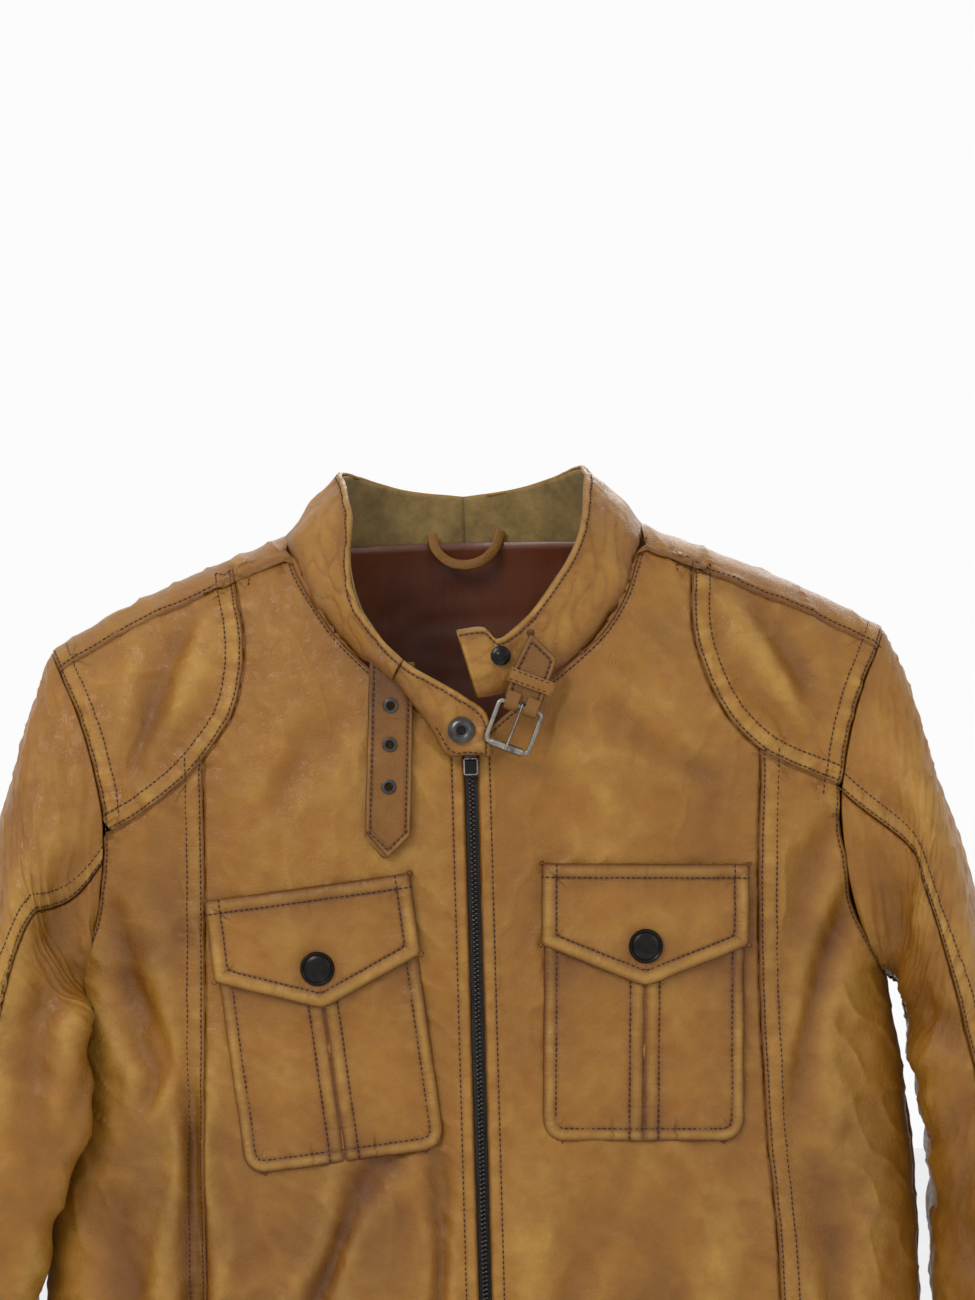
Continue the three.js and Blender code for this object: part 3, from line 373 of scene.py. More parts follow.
def share_of(x, z):
    return np.arcsin(np.clip(x / half_width(z), 0, 1) ** (SECTION / 2)) * 2 / math.pi


def in_shares(line):
    """A line of (x, z) as (share of the way round, z)."""
    line = np.asarray(line, float)
    return np.stack([share_of(line[:, 0], line[:, 1]), line[:, 1]], 1)


# %% [markdown]
# ## Seams, rows of stitches and folds
# A seam is a line on the form. How far a point lies from it decides the dip at the seam, the raised ply
# beside it, the groove under each row of stitches and the puckers that the thread pulls in. A fold is the
# same idea at a larger scale. All of them add up to one height, shared by every panel.


# %% [markdown]
# ## Lines and waves
# Everything below needs three small tools: a rounded line through a few points, how far a point lies from
# a line, and smooth random hills that are always the same for the same seed.

# %% Distances and small waves
def polyline(points):
    points = np.asarray(points, float)
    steps = np.linalg.norm(np.diff(points, axis=0), axis=1)
    return points, np.concatenate([[0], np.cumsum(steps)])


def edge_at(points, shares):
    points, reach = polyline(points)
    where = np.asarray(shares) * reach[-1]
    return np.stack([np.interp(where, reach, points[:, k]) for k in range(points.shape[1])], -1)


def rounded(a, b, c, d, f):
    """The point at share f between b and c on a smooth curve through all four (Catmull-Rom)."""
    return 0.5 * (2 * b + (c - a) * f + (2 * a - 5 * b + 4 * c - d) * f ** 2
                  + (3 * b - a - 3 * c + d) * f ** 3)


def smooth_line(points, count=60):
    """A rounded line through given points."""
    p = np.asarray(points, float)
    if len(p) < 3:
        return edge_at(p, np.linspace(0, 1, count))
    ends = np.vstack([2 * p[0] - p[1], p, 2 * p[-1] - p[-2]])
    out = []
    for t in np.linspace(0, len(p) - 1, count):
        i = min(int(t), len(p) - 2)
        f = t - i
        a, b, c, d = ends[i:i + 4]
        out.append(rounded(a, b, c, d, f))
    return np.array(out)


def nearest(x, z, line):
    """Signed distance to a line (left of its direction is positive) and the length along it."""
    points, reach = polyline(line)
    best = np.full(x.shape, 1e9)
    signed = np.zeros(x.shape)
    length = np.zeros(x.shape)
    for (ax, az), (bx, bz), start in zip(points[:-1], points[1:], reach):
        dx, dz = bx - ax, bz - az
        span = max(dx * dx + dz * dz, 1e-9)
        t = np.clip(((x - ax) * dx + (z - az) * dz) / span, 0, 1)
        gap = np.hypot(x - ax - t * dx, z - az - t * dz)
        closer = gap < best
        turn = np.sign(dx * (z - az) - dz * (x - ax))
        best = np.where(closer, gap, best)
        signed = np.where(closer, gap * np.where(turn == 0, 1, turn), signed)
        length = np.where(closer, start + t * math.sqrt(span), length)
    return signed, length


def offset_line(line, gap):
    points = np.asarray(line, float)
    along = np.gradient(points, axis=0)
    left = np.stack([-along[:, 1], along[:, 0]], 1)
    left /= np.linalg.norm(left, axis=1, keepdims=True)
    return points + left * gap


def hump(value, width):
    return np.exp(-(value / width) ** 2)


def waves(x, z, size, seed, count=7):
    """Smooth random hills about `size` across, always the same for a seed."""
    rng = np.random.default_rng(seed)
    total = 0
    for _ in range(count):
        angle, phase = rng.uniform(0, 2 * math.pi, 2)
        rate = 2 * math.pi / (size * rng.uniform(0.7, 1.7))
        total = total + np.sin(rate * (x * math.cos(angle) + z * math.sin(angle)) + phase)
    return total / math.sqrt(count)


def gathers(length, seed):
    """Uneven puckers along a seam."""
    return (np.sin(length / 1.25 + 2 * np.sin(length / 9 + seed)) * 0.5
            + np.sin(length / 2.1 + seed * 1.7) * 0.6 + np.sin(length / 3.7 + seed * 0.6) * 0.5)


def seam_height(signed, length, rows, seed, pull=1.0, ply=0.5):
    """Height near a stitched seam, whose rows lie on its positive side."""
    inside = signed * math.copysign(1, rows[-1])
    reach = abs(rows[-1])
    height = -1.0 * hump(signed, 0.9)
    height = height + ply * hump(np.maximum(0, np.abs(inside - reach / 2) - reach / 2), 1.6) * (inside > 0)
    for row in rows:
        height = height - 0.42 * hump(signed - row, 0.75)
    fade = hump(np.maximum(0, np.abs(inside - reach / 2) - reach / 2 - 1), 6.5)
    return height + pull * 0.24 * gathers(length, seed) * fade * (1 - 0.7 * hump(signed, 0.8))


SEAM_SOAK = 11  # mm that dark dye spreads from a seam


def seam_marks(gap, rows, part, soak):
    """Burnish and rub beside a seam: dye gathers in it and along its rows, and wears off what stands up."""
    edge = hump(gap, 1.4) * 0.56 + hump(gap, soak) * 0.25 + 0.3 * sum(hump(gap - row, 1.0) for row in rows)
    burn = np.clip(edge - 0.35 * np.clip(part, 0, 1), 0, 1)
    return burn, np.clip(0.9 * np.clip(part, 0, 0.9) * hump(gap, SEAM_SOAK), 0, 1)


def pucker_share(gap, rows, pull):
    """How strongly the thread puckers the leather at a distance from its seam."""
    inside = gap * math.copysign(1, rows[-1])
    reach = abs(rows[-1])
    beyond = np.maximum(0, np.abs(inside - reach / 2) - reach / 2)
    return np.clip(pull, 0, 1) * hump(beyond, 4.5) * (1 - 0.9 * hump(gap, 0.8))


# %% [markdown]
# ## Where the seams run
# Each seam is a few points in millimetres, across and up from the top of the zip. The two sides are not
# quite alike, because the jacket hangs a little unevenly.

# %% Seam lines of the front and back, wearer's right (R) and left (L)
SIDES = {"R": -1, "L": 1}
ZIP_EDGE = 3.2
NECK = {
    "R": [(3.2, 8), (20, 22), (42, 39), (55, 51), (66, 63), (76, 78), (85, 94), (90, 108)],
    "L": [(3.2, 8), (20, 22), (43, 39), (59, 52), (70, 63), (80, 79), (86.5, 97), (90, 108)],
}
PATCH = {
    "R": [(119, 101), (116.5, 86), (113, 66), (113.5, 46), (118, 27), (126, 13), (143, -7), (167, -25),
          (181, -33)],
    "L": [(116, 99), (114, 81), (114, 59), (120, 36), (129.5, 16.5), (143, 1.5), (156, -7), (186, -20)],
}
PRINCESS = {"R": [(134.5, 2), (136, -90), (138.5, -180), (140.5, -270), (142, BAND)],
            "L": [(146, -1), (142.5, -75), (143, -182), (148, -274), (147, BAND)]}
ARMHOLE = [(213, 58), (207, 45), (200, 30), (193, 9), (188, -14), (186, -32), (188, -60), (193, -84),
           (201, -105), (208, -116)]
SEAM_DROP = 13  # the shoulder seam's distance below the ridge, in front
YOKE_LOW = 8
BACK_SEAM = 143.5
ROW_NEAR, ROW_FAR = 2.0, 9.0  # two rows of stitches beside a lapped seam


def shoulder_seam(x):
    return ridge(x) - SEAM_DROP


patch_line = {h: smooth_line(PATCH[h], 44) for h in SIDES}
neck_line = {h: smooth_line(NECK[h], 40) for h in SIDES}
princess_line = {h: smooth_line(PRINCESS[h], 24) for h in SIDES}
arm_line = smooth_line(ARMHOLE, 50)
for h in SIDES:
    patch_line[h][0, 1] = shoulder_seam(patch_line[h][0, 0])


def mirrored(line, sign):
    return np.asarray(line) * (sign, 1)


# Each seam: its line in signed x, the rows beside it, how hard its thread pulls, and the raised ply.
seams = {-1: [], 1: []}
for h, s in SIDES.items():
    seams[-1] += [
        (mirrored(patch_line[h], s), (ROW_NEAR * s, ROW_FAR * s), 1.5, 0.7),
        (mirrored(princess_line[h], s), (ROW_NEAR * s, ROW_FAR * s), 0.8, 0.45),
        (mirrored(neck_line[h], s), (-2.2 * s,), 0.7, 0.2),
        (mirrored(arm_line[:26], s), (-ROW_NEAR * s, -ROW_FAR * s), 1.2, 0.5),
        (mirrored(arm_line[25:], s), (-2.0 * s,), 0.9, 0.2),
        (np.array([(s * ZIP_EDGE, 12), (s * ZIP_EDGE, BAND)]), (6.3 * s,), 0.55, 0.35),
    ]
    seams[1] += [(mirrored(arm_line, s), (-2.0 * s,), 0.8, 0.3),
                 (np.array([(s * BACK_SEAM, YOKE_LOW), (s * BACK_SEAM, BAND)]), (ROW_NEAR * s, ROW_FAR * s),
                  0.7, 0.4)]
for h, s in SIDES.items():
    over = np.array([(s * v, shoulder_seam(v)) for v in np.linspace(92, 209, 20)])
    seams[-1].append((over, (2.0 * s,), 0.8, 0.25))
seams[1].append((np.array([(-190, YOKE_LOW), (190, YOKE_LOW)]), (ROW_NEAR, ROW_FAR), 0.9, 0.5))
for face in (-1, 1):
    seams[face].append((np.array([(-226, BAND), (226, BAND)]), (2.0,), 0.7, 0.3))
    seams[face].append((np.array([(-226, HEM), (226, HEM)]), (3.0,), 0.4, 0.2))

# Folds: line in signed x, depth (a valley is positive), width.
front_folds = [
    ([(-146, -118), (-145, -190), (-147, -275), (-147, -380)], 5.0, 7),
    ([(-181, -100), (-171, -132), (-164, -157), (-172, -178)], 5.0, 8),
    ([(-186, -62), (-176, -95), (-158, -140), (-152, -190)], 2.6, 8),
    ([(-28, -182), (-45, -197), (-60, -214), (-76, -251), (-86, -275), (-96, -330)], 3.6, 8),
    ([(-25, -178), (-22, -209), (-21, -236), (-23, -268), (-30, -330)], 2.6, 6),
    ([(-140, 82), (-158, 36), (-174, -10)], 2.2, 9),
    ([(-128, 70), (-140, 40), (-150, 10)], -1.6, 8),
    ([(129, 80), (150, 42), (172, 4)], -2.4, 8),
    ([(142, 78), (165, 44), (180, 20)], 1.8, 7),
    ([(188, -34), (170, -62), (158, -104)], 2.2, 8),
    ([(196, -62), (180, -100), (165, -150), (160, -200)], 2.8, 9),
    ([(60, 30), (90, 4), (128, -16)], 1.6, 8),
    ([(40, 14), (62, -14), (74, -40)], -1.4, 8),
    ([(-60, 26), (-84, 0), (-104, -30)], 1.4, 9),
    ([(170, -200), (176, -280), (168, -380)], 3.2, 13),
    ([(-186, -210), (-180, -300), (-188, -400)], 3.0, 14),
    ([(60, -215), (40, -280), (30, -380)], 2.2, 12),
    ([(120, -215), (112, -300), (118, -400)], -2.0, 14),
]
back_folds = [
    ([(-60, -20), (-50, -200), (-64, -420)], 3.0, 20),
    ([(62, -30), (54, -210), (70, -420)], 3.0, 22),
    ([(-178, -60), (-150, -150), (-120, -260)], 3.2, 13),
    ([(178, -60), (150, -150), (124, -260)], 3.2, 13),
    ([(0, -40), (8, -230), (-4, -430)], -2.4, 26),
    ([(-150, 60), (-90, 20), (-20, 34)], 1.6, 12),
    ([(150, 60), (90, 20), (20, 34)], 1.6, 12),
]
folds = {-1: [(smooth_line(p, 30), d, w) for p, d, w in front_folds],
         1: [(smooth_line(p, 30), d, w) for p, d, w in back_folds]}


# Soft clouds of painted shade: centre, reach and strength.
front_shades = [(-160, -90, 36, 0.55), (-165, -205, 46, 0.4), (-66, -236, 44, 0.45), (172, -95, 30, 0.3),
                (172, -205, 50, 0.32),
                (-48, 58, 24, 0.5), (44, 22, 26, 0.25), (96, 60, 16, 0.3), (-26, -40, 20, 0.3),
                (28, -150, 18, 0.25),
                (60, -212, 40, 0.2), (-150, 14, 30, 0.22), (120, -20, 22, 0.3), (-110, -330, 60, 0.3),
                (90, -340, 70, 0.25)]
back_shades = [(-110, -120, 60, 0.35), (120, -160, 70, 0.35), (0, -300, 80, 0.3), (-180, -260, 50, 0.35),
               (182, -300, 50, 0.35),
               (0, 60, 60, 0.2)]
shades = {-1: front_shades, 1: back_shades}


def shade_at(x, z, side):
    total = sum(share * hump(np.hypot(x - cx, z - cz), reach) for cx, cz, reach, share in shades[side])
    return np.clip(total * (1 + 0.35 * waves(x, z, 30, 71)), 0, 1)


def fold_height(x, z, side):
    height = np.zeros(x.shape)
    for line, depth, width in folds[side]:
        gap, length = nearest(x, z, line)
        whole = polyline(line)[1][-1]
        ends = np.clip(np.minimum(length, whole - length) / (0.25 * whole), 0, 1) ** 0.7
        wide = 0.8 * width * (1 + 0.3 * np.sin(length / 17))
        height = height + 1.4 * ends * depth * (0.45 * hump(np.abs(gap) - 1.9 * wide, wide) - hump(gap, wide))
    drape = waves(x, z * 0.45, 70, 5 + side) * 1.2
    crumple = (1 - np.abs(np.tanh(1.3 * waves(x, z * 0.8, 30, 11 + side)))) ** 3 * 1.1
    return height + drape * np.clip((100 - z) / 150, 0.25, 1) + crumple + 0.25 * waves(x, z, 11, 3)


def skin(x, z, side):
    """Height of the leather at points on one side of the body, with its seam dye and painted shade, and its
    rub and painted highlight.
    """
    height = fold_height(x, z, side)
    # painted shade in fold valleys and in the soft shade clouds; painted highlight on fold ridges
    burn = np.clip(0.55 * np.clip(-height / 3.5, 0, 1) + shade_at(x, z, side), 0, 1)
    rub_and_highlight_amount = 0.55 * np.clip(height / 3.0, 0, 1)
    run, border = np.zeros(x.shape), np.zeros(x.shape)
    for index, (line, rows, pull, ply) in enumerate(seams[side]):
        low, high = line.min(0) - 24, line.max(0) + 24
        close = (x > low[0]) & (x < high[0]) & (z > low[1]) & (z < high[1])
        if not close.any():
            continue
        gap, length = nearest(x[close], z[close], line)
        part = seam_height(gap, length, rows, index + 1, pull, ply)
        height[close] += part
        dyed, worn = seam_marks(gap, rows, part, SEAM_SOAK)
        burn[close], rub_and_highlight_amount[close] = np.maximum(burn[close], dyed), np.maximum(rub_and_highlight_amount[close], worn)
        beside = pucker_share(gap, rows, pull)
        nearer = beside > border[close]
        run[close] = np.where(nearer, length + 1000 * index, run[close])
        border[close] = np.maximum(border[close], beside)
    return height, {"burn": burn, "raise": rub_and_highlight_amount, "run": run, "border": border}


# %% [markdown]
# ## Cutting the panels
# A panel is a four-sided patch between its seams (a Coons patch), with its grid lines packed close where
# the stitching runs and wider in the middle. That gives sharp seams without a heavy mesh.


# %% Patch, grid and mesh helpers
def packed(length, step, fine=(0, 0.45, 0.9, 1.4, 2.0, 2.6, 3.4, 4.6, 6.0, 7.4, 8.2, 8.8, 9.4, 10.2, 11.5,
                               13)):
    """Shares along a length, close together near both ends."""
    near = [f for f in fine if f < length * 0.45]
    middle = np.arange(near[-1] + step, length - near[-1] - step * 0.5, step)
    return np.array([*near, *middle, *[length - f for f in reversed(near)]]) / length


SHARE_SPAN = 200  # mm along the body from the zip to the side


def coons(low, high, near, far, us, vs):
    b, t = edge_at(low, us)[:, None], edge_at(high, us)[:, None]
    l, r = edge_at(near, vs)[None], edge_at(far, vs)[None]
    u, v = us[:, None, None], vs[None, :, None]
    c = [np.asarray(p, float) for p in (low[0], low[-1], high[0], high[-1])]
    corners = (c[0] * (1 - u) + c[1] * u) * (1 - v) + (c[2] * (1 - u) + c[3] * u) * v
    return (1 - v) * b + v * t + (1 - u) * l + u * r - corners


def coons_by_share(low, high, near, far, us, vs):
    """The same patch for edges given as (share, height): the share is widened, so both count alike."""
    widen = np.array([SHARE_SPAN, 1.0])
    return coons(*(np.asarray(edge) * widen for edge in (low, high, near, far)), us, vs) / widen


def grid_faces(nu, nv, ring=False):
    i, j = np.meshgrid(np.arange(nu if ring else nu - 1), np.arange(nv - 1), indexing="ij")
    n = (i + 1) % nu
    return np.stack([i * nv + j, n * nv + j, n * nv + j + 1, i * nv + j + 1], -1).reshape(-1, 4)


def new_piece(name, points, faces, material, outward=None, marks=None, smooth=True):
    """A mesh object with its place in its mesh. outward(mean point) says which way its faces look."""
    mesh = bpy.data.meshes.new(name)
    mesh.from_pydata(world(points).tolist(), [],
                     np.asarray(faces).tolist() if not isinstance(faces, list) else faces)
    if outward is not None:
        mesh.update()
        score = sum(Vector(outward(f.center)).dot(f.normal) * f.area for f in mesh.polygons)
        if score < 0:
            mesh.flip_normals()
    for key, values in (marks or {}).items():
        mesh.attributes.new(key, "FLOAT", "POINT").data.foreach_set("value",
                                                                    np.asarray(values, np.float32).ravel())
    mesh.materials.append(material)
    mesh.polygons.foreach_set("use_smooth", np.full(len(mesh.polygons), smooth))
    mesh.update()
    item = bpy.data.objects.new(name, mesh)
    bpy.context.scene.collection.objects.link(item)
    return item


def thicken(item, thickness, offset=-1.0):
    wall = item.modifiers.new("wall", "SOLIDIFY")
    wall.thickness = thickness * MM
    wall.offset = offset
    wall.use_even_offset = False
    return item


def flat_size(points):
    """Width, length and area of a grid of points, in metres, as it would be cut flat."""
    across = np.linalg.norm(np.diff(points, axis=0), axis=-1).sum(0).max() * MM
    up = np.linalg.norm(np.diff(points, axis=1), axis=-1).sum(1).max() * MM
    one, two = np.diff(points, axis=0)[:, :-1], np.diff(points, axis=1)[:-1]
    area = np.linalg.norm(np.cross(one, two), axis=-1).sum() * MM * MM
    return float(across), float(up), float(min(area, across * up * 0.999))


cut_list = {}


def declare_sheet(name, points):
    width, length, area = flat_size(points)
    cut_list[name] = (round(width, 3), round(length, 3), round(area, 4))


def away_from_axis(place):
    return (place.x * 0.3, place.y, 0)


def lay_panel(name, x, z, side, body="shell", base=0.0, material=TAN, thickness=LEATHER,
              detail=True):
    """Lays a grid of (x, z) on the body as one piece of leather or cloth."""
    side = np.broadcast_to(side, x.shape)
    height = np.zeros(x.shape)
    marks = {key: np.zeros(x.shape) for key in ("burn", "raise", "run", "border")} if detail else {}
    for face in (-1, 1):
        here = side == face
        if here.any() and detail:
            height[here], found = skin(x[here], z[here], face)
            for key in marks:
                marks[key][here] = found[key]
        elif here.any():
            height[here] = fold_height(x[here], z[here], face)
    points = on_body(x, z, side, base + height)
    item = new_piece(name, points.reshape(-1, 3), grid_faces(*x.shape), material, away_from_axis, marks)
    thicken(item, thickness)
    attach(item, body)
    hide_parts(name)
    declare_sheet(name, on_body(x, z, side))


# %% [markdown]
# ## Laying the panels
# Each panel is named by its four edges, and every edge is a seam shared with a neighbour. Side panels are
# laid by their share of the way round, so that their grid doesn't bunch up where the body turns.

# %% Front, side, patch and hem panels
def rising(line, low):
    """The part of a falling line above a height, turned to run upwards."""
    return np.asarray([p for p in line if p[1] > low])[::-1]


STEP = 2.0
for h, s in SIDES.items():
    patch_inner = patch_line[h]
    crossing = int(np.argmin(np.abs(patch_inner[:, 0] - princess_line[h][0, 0])
                             + (patch_inner[:, 1] > 40) * 99))
    princess_up = princess_line[h][::-1]
    far = np.vstack([princess_up[:-1], patch_inner[:crossing + 1][::-1]])
    top_seam = [(x, shoulder_seam(x)) for x in np.linspace(92, patch_inner[0, 0], 6)]
    high = np.vstack([neck_line[h][neck_line[h][:, 1] < 100], top_seam])
    low = np.array([(ZIP_EDGE, BAND), far[0]])
    near = np.array([(ZIP_EDGE, BAND), high[0]])
    us, vs = packed(142, STEP), packed(560, STEP * 1.2)
    grid = coons(low, high, near, far, us, vs)
    lay_panel(f"front_panel_{h}", s * grid[..., 0], grid[..., 1], -1)

    arm = np.array([p for p in arm_line if p[1] > patch_inner[-1, 1]])
    arm[-1] = patch_inner[-1]
    start = next(i for i, p in enumerate(arm) if p[1] < shoulder_seam(p[0]))
    arm = np.vstack([[(arm[start, 0], shoulder_seam(arm[start, 0]))], arm[start + 1:]])[::-1]
    over = np.array([(x, shoulder_seam(x)) for x in np.linspace(patch_inner[0, 0], arm[-1, 0], 30)])
    outer = np.vstack([over, arm[::-1][1:]])
    us, vs = np.linspace(0.003, 0.997, int(200 / STEP)), packed(95, STEP * 0.9)
    first, second = edge_at(patch_inner, us)[:, None], edge_at(outer, us)[:, None]
    grid = first * (1 - vs[None, :, None]) + second * vs[None, :, None]
    lay_panel(f"shoulder_patch_{h}", s * grid[..., 0], grid[..., 1], -1)

    under = patch_inner[crossing:]
    lower_arm = np.array([p for p in arm_line if p[1] < under[-1, 1] - 2])
    top = np.vstack([under, lower_arm])
    top_share = in_shares(top)
    top_share[-1, 0] = 1
    near = in_shares(princess_up)
    near[-1] = top_share[0]
    low = np.array([near[0], (1, BAND)])
    far = np.array([(1, BAND), (1, -300), (1, top_share[-1, 1])])
    us, vs = packed(105, STEP), packed(440, STEP * 1.3)
    grid = coons_by_share(low, top_share, near, far, us, vs)
    lay_panel(f"side_panel_{h}", s * around(grid[..., 0], grid[..., 1]), grid[..., 1], -1)

    arm_back = np.array([p for p in arm_line if p[1] < YOKE_LOW])
    top = np.vstack([[(BACK_SEAM, YOKE_LOW)], [(arm_back[0, 0], YOKE_LOW)], arm_back])
    top_share = in_shares(top)
    top_share[-1, 0] = 1
    near = in_shares([(BACK_SEAM, z) for z in np.linspace(BAND, YOKE_LOW, 12)])
    far = np.array([(1, BAND), (1, -300), (1, top_share[-1, 1])])
    low, us, vs = np.array([near[0], (1, BAND)]), packed(105, STEP * 1.4), packed(440, STEP * 1.6)
    grid = coons_by_share(low, top_share, near, far, us, vs)
    lay_panel(f"back_side_panel_{h}", s * around(grid[..., 0], grid[..., 1]), grid[..., 1], 1)

    us, vs = packed(250, STEP * 1.5), packed(42, STEP)
    z = np.broadcast_to((HEM + (BAND - HEM) * vs)[None], (len(us), len(vs)))
    begin = share_of(ZIP_EDGE, z)
    lay_panel(f"hem_band_front_{h}", s * around(begin + (1 - begin) * us[:, None], z), z, -1)

# %% [markdown]
# ## The back
# The back has one wide panel, two narrow ones and a yoke. The yoke goes over the shoulder ridge and down
# to the seam in front, so its grid is measured by the angle over the ridge.

# %% Back panels and yoke
us, vs = packed(2 * BACK_SEAM, STEP * 1.4), packed(446, STEP * 1.6)
x = np.broadcast_to(((us * 2 - 1) * BACK_SEAM)[:, None], (len(us), len(vs)))
lay_panel("back_panel_centre", x, np.broadcast_to((BAND + (YOKE_LOW - BAND) * vs)[None], x.shape), 1)

us, vs = packed(500, STEP * 1.6), packed(42, STEP)
share = us[:, None] * 2 - 1
z = np.broadcast_to((HEM + (BAND - HEM) * vs)[None], (len(us), len(vs)))
lay_panel("hem_band_back", np.sign(share) * around(np.abs(share), z), z, 1)


def over_ridge(x, z, side):
    up = np.clip((z - turn_start(x)) / (ridge(x) - turn_start(x)), 0, 1)
    angle = np.arcsin(up ** (RIDGE / 2))
    return (x, 100 * (angle if side > 0 else math.pi - angle))


arm_up = [p for p in arm_line[::-1] if p[1] > YOKE_LOW]
right = [over_ridge(arm_up[0][0], YOKE_LOW, 1)] + [over_ridge(px, pz, 1) for px,
                                                   pz in arm_up if pz < SHOULDER_TOP - 1]
front_arm = [p for p in arm_line if SHOULDER_TOP - 2 > p[1] > shoulder_seam(p[0])]
right += [over_ridge(px, pz, -1) for px, pz in front_arm]
end_x = front_arm[-1][0] - 0.5
top_half = [over_ridge(px, shoulder_seam(px), -1) for px in np.linspace(end_x, 92, 14)]
NECK_BACK = 107
top_half += [over_ridge(px, NECK_BACK, 1) for px in np.linspace(87, 0, 12)]
yoke_top = np.array([(-a, b) for a, b in top_half] + top_half[::-1][1:])
yoke_low = np.array([over_ridge(px, YOKE_LOW, 1) for px in np.linspace(-right[0][0], right[0][0], 80)])
yoke_right = np.array(right + [top_half[0]])
us, vs = packed(430, STEP * 1.1), packed(150, STEP)
grid = coons(yoke_low, yoke_top, yoke_right * (-1, 1), yoke_right, us, vs)
x = grid[..., 0]
angle = np.clip(grid[..., 1] / 100, 0, math.pi)
z = turn_start(x) + (ridge(x) - turn_start(x)) * np.sin(angle) ** (2 / RIDGE)
lay_panel("back_yoke", x, z, np.where(angle > math.pi / 2, -1, 1))
print("panels:", cut_list)


# %% [markdown]
# ## Sleeves
# A set-in sleeve starts on the armhole's curve and becomes an oval tube. Its rings are the same idea as
# the body's form, joined by a rounded line at each angle, so top and under sleeve share both their seams.

# %% Form of the sleeves
ARM_BACK_LOW, ARM_MID = ARMPIT[1], -20
REACH = 620


def low_ring(share, width, deep):
    x, z = SHOULDER_HALF + 6 + 0.262 * REACH * share, SHOULDER_TOP - 0.965 * REACH * share
    return (x, z, x - width, z - width * 0.29, deep)


RINGS = [(226, 24, 213, -122, 47), (241, -25, 216, -132, 52), (257, -87, 221, -154, 55),
         (277, -164, 229, -208, 55),
         low_ring(0.52, 76, 51), low_ring(0.7, 86, 48), low_ring(0.86, 80, 43), low_ring(1, 74, 37)]
CUFF_START = 1 - 46 / (REACH * 1.06)


def arm_x(z):
    line = arm_line[::-1]
    return np.interp(z, line[:, 1], line[:, 0])


def sleeve_form(angle, w, bulge):
    """Points of the wearer's left sleeve. Angle 0 is outermost, a quarter turn is its front."""
    c, s = np.cos(angle), np.sin(angle)
    z = ARM_MID + c * np.where(c > 0, SHOULDER_TOP - ARM_MID, ARM_MID - ARM_BACK_LOW)
    x = arm_x(z)
    stations = [np.stack([x, -np.sign(np.round(s, 6)) * depth_at(x, z), z], -1)]
    for ox, oz, ix, iz, deep in RINGS:
        stations.append(np.stack([(ox + ix + (ox - ix) * c) / 2, -deep * s, (oz + iz + (oz - iz) * c) / 2],
                                 -1))
    p = np.stack(stations)
    p = np.concatenate([2 * p[:1] - p[1:2], p, 2 * p[-1:] - p[-2:-1]])
    t = np.clip(w, 0, 1) * (len(RINGS))
    i = np.minimum(t.astype(int), len(RINGS) - 1)
    f = (t - i)[..., None]
    around_it = [np.take_along_axis(p, (i + k)[None, ..., None], 0)[0] for k in range(4)]
    out = rounded(*around_it, f)
    inner = np.clip(np.sin(2 * (angle - math.pi / 2)), 0, 1) * (np.sin(angle) > 0) * bulge
    reach = np.where(out[..., 2] > -165, 60, 74)
    swell = inner * hump(out[..., 2] + 165, reach) * np.clip(w * 22, 0, 1)
    return out + np.stack([-38 * swell, -15 * swell, 0 * swell], -1)


sleeve_folds = {
    "R": [([(196, -40), (214, -90), (222, -150), (226, -240)], 4.0, 10),
          ([(182, -120), (196, -160), (216, -210)], 4.5, 9),
          ([(206, -20), (226, -70), (240, -130), (246, -220)], -3.0, 12),
          ([(190, -90), (206, -112), (232, -128)], 3.2, 8),
          ([(230, -230), (262, -262), (300, -262)], 4.0, 11),
          ([(236, -262), (262, -290), (310, -300)], 4.5, 12),
          ([(240, -300), (275, -318), (318, -318)], 3.5, 11),
          ([(250, -360), (290, -372), (330, -360)], 2.5, 12)],
    "L": [([(190, -44), (206, -70), (216, -112), (220, -160)], 4.2, 9),
          ([(198, -16), (222, -50), (236, -90)], 2.6, 9),
          ([(204, 22), (222, -20), (238, -84)], -2.4, 12), ([(212, -128), (232, -142), (252, -150)], 3.6, 9),
          ([(226, -90), (240, -150), (244, -220)], 3.0, 11),
          ([(232, -240), (262, -268), (300, -272)], 4.2, 11),
          ([(236, -272), (266, -296), (312, -306)], 4.5, 12),
          ([(250, -352), (290, -366), (330, -352)], 2.6, 12)],
}
row_lines = {body: [] for body in frame["bodies"]}
SLEEVE_LENGTH = 640
THREAD_UP = 0.12  # mm from the leather to the middle of the thread


def seam_angle(w, hand):
    away = 0.3 if hand == "R" else 0.05
    return math.pi / 2 + 0.1 * (hand == "R") * hump(w, 0.3) + away * hump(w - 0.07, 0.11)


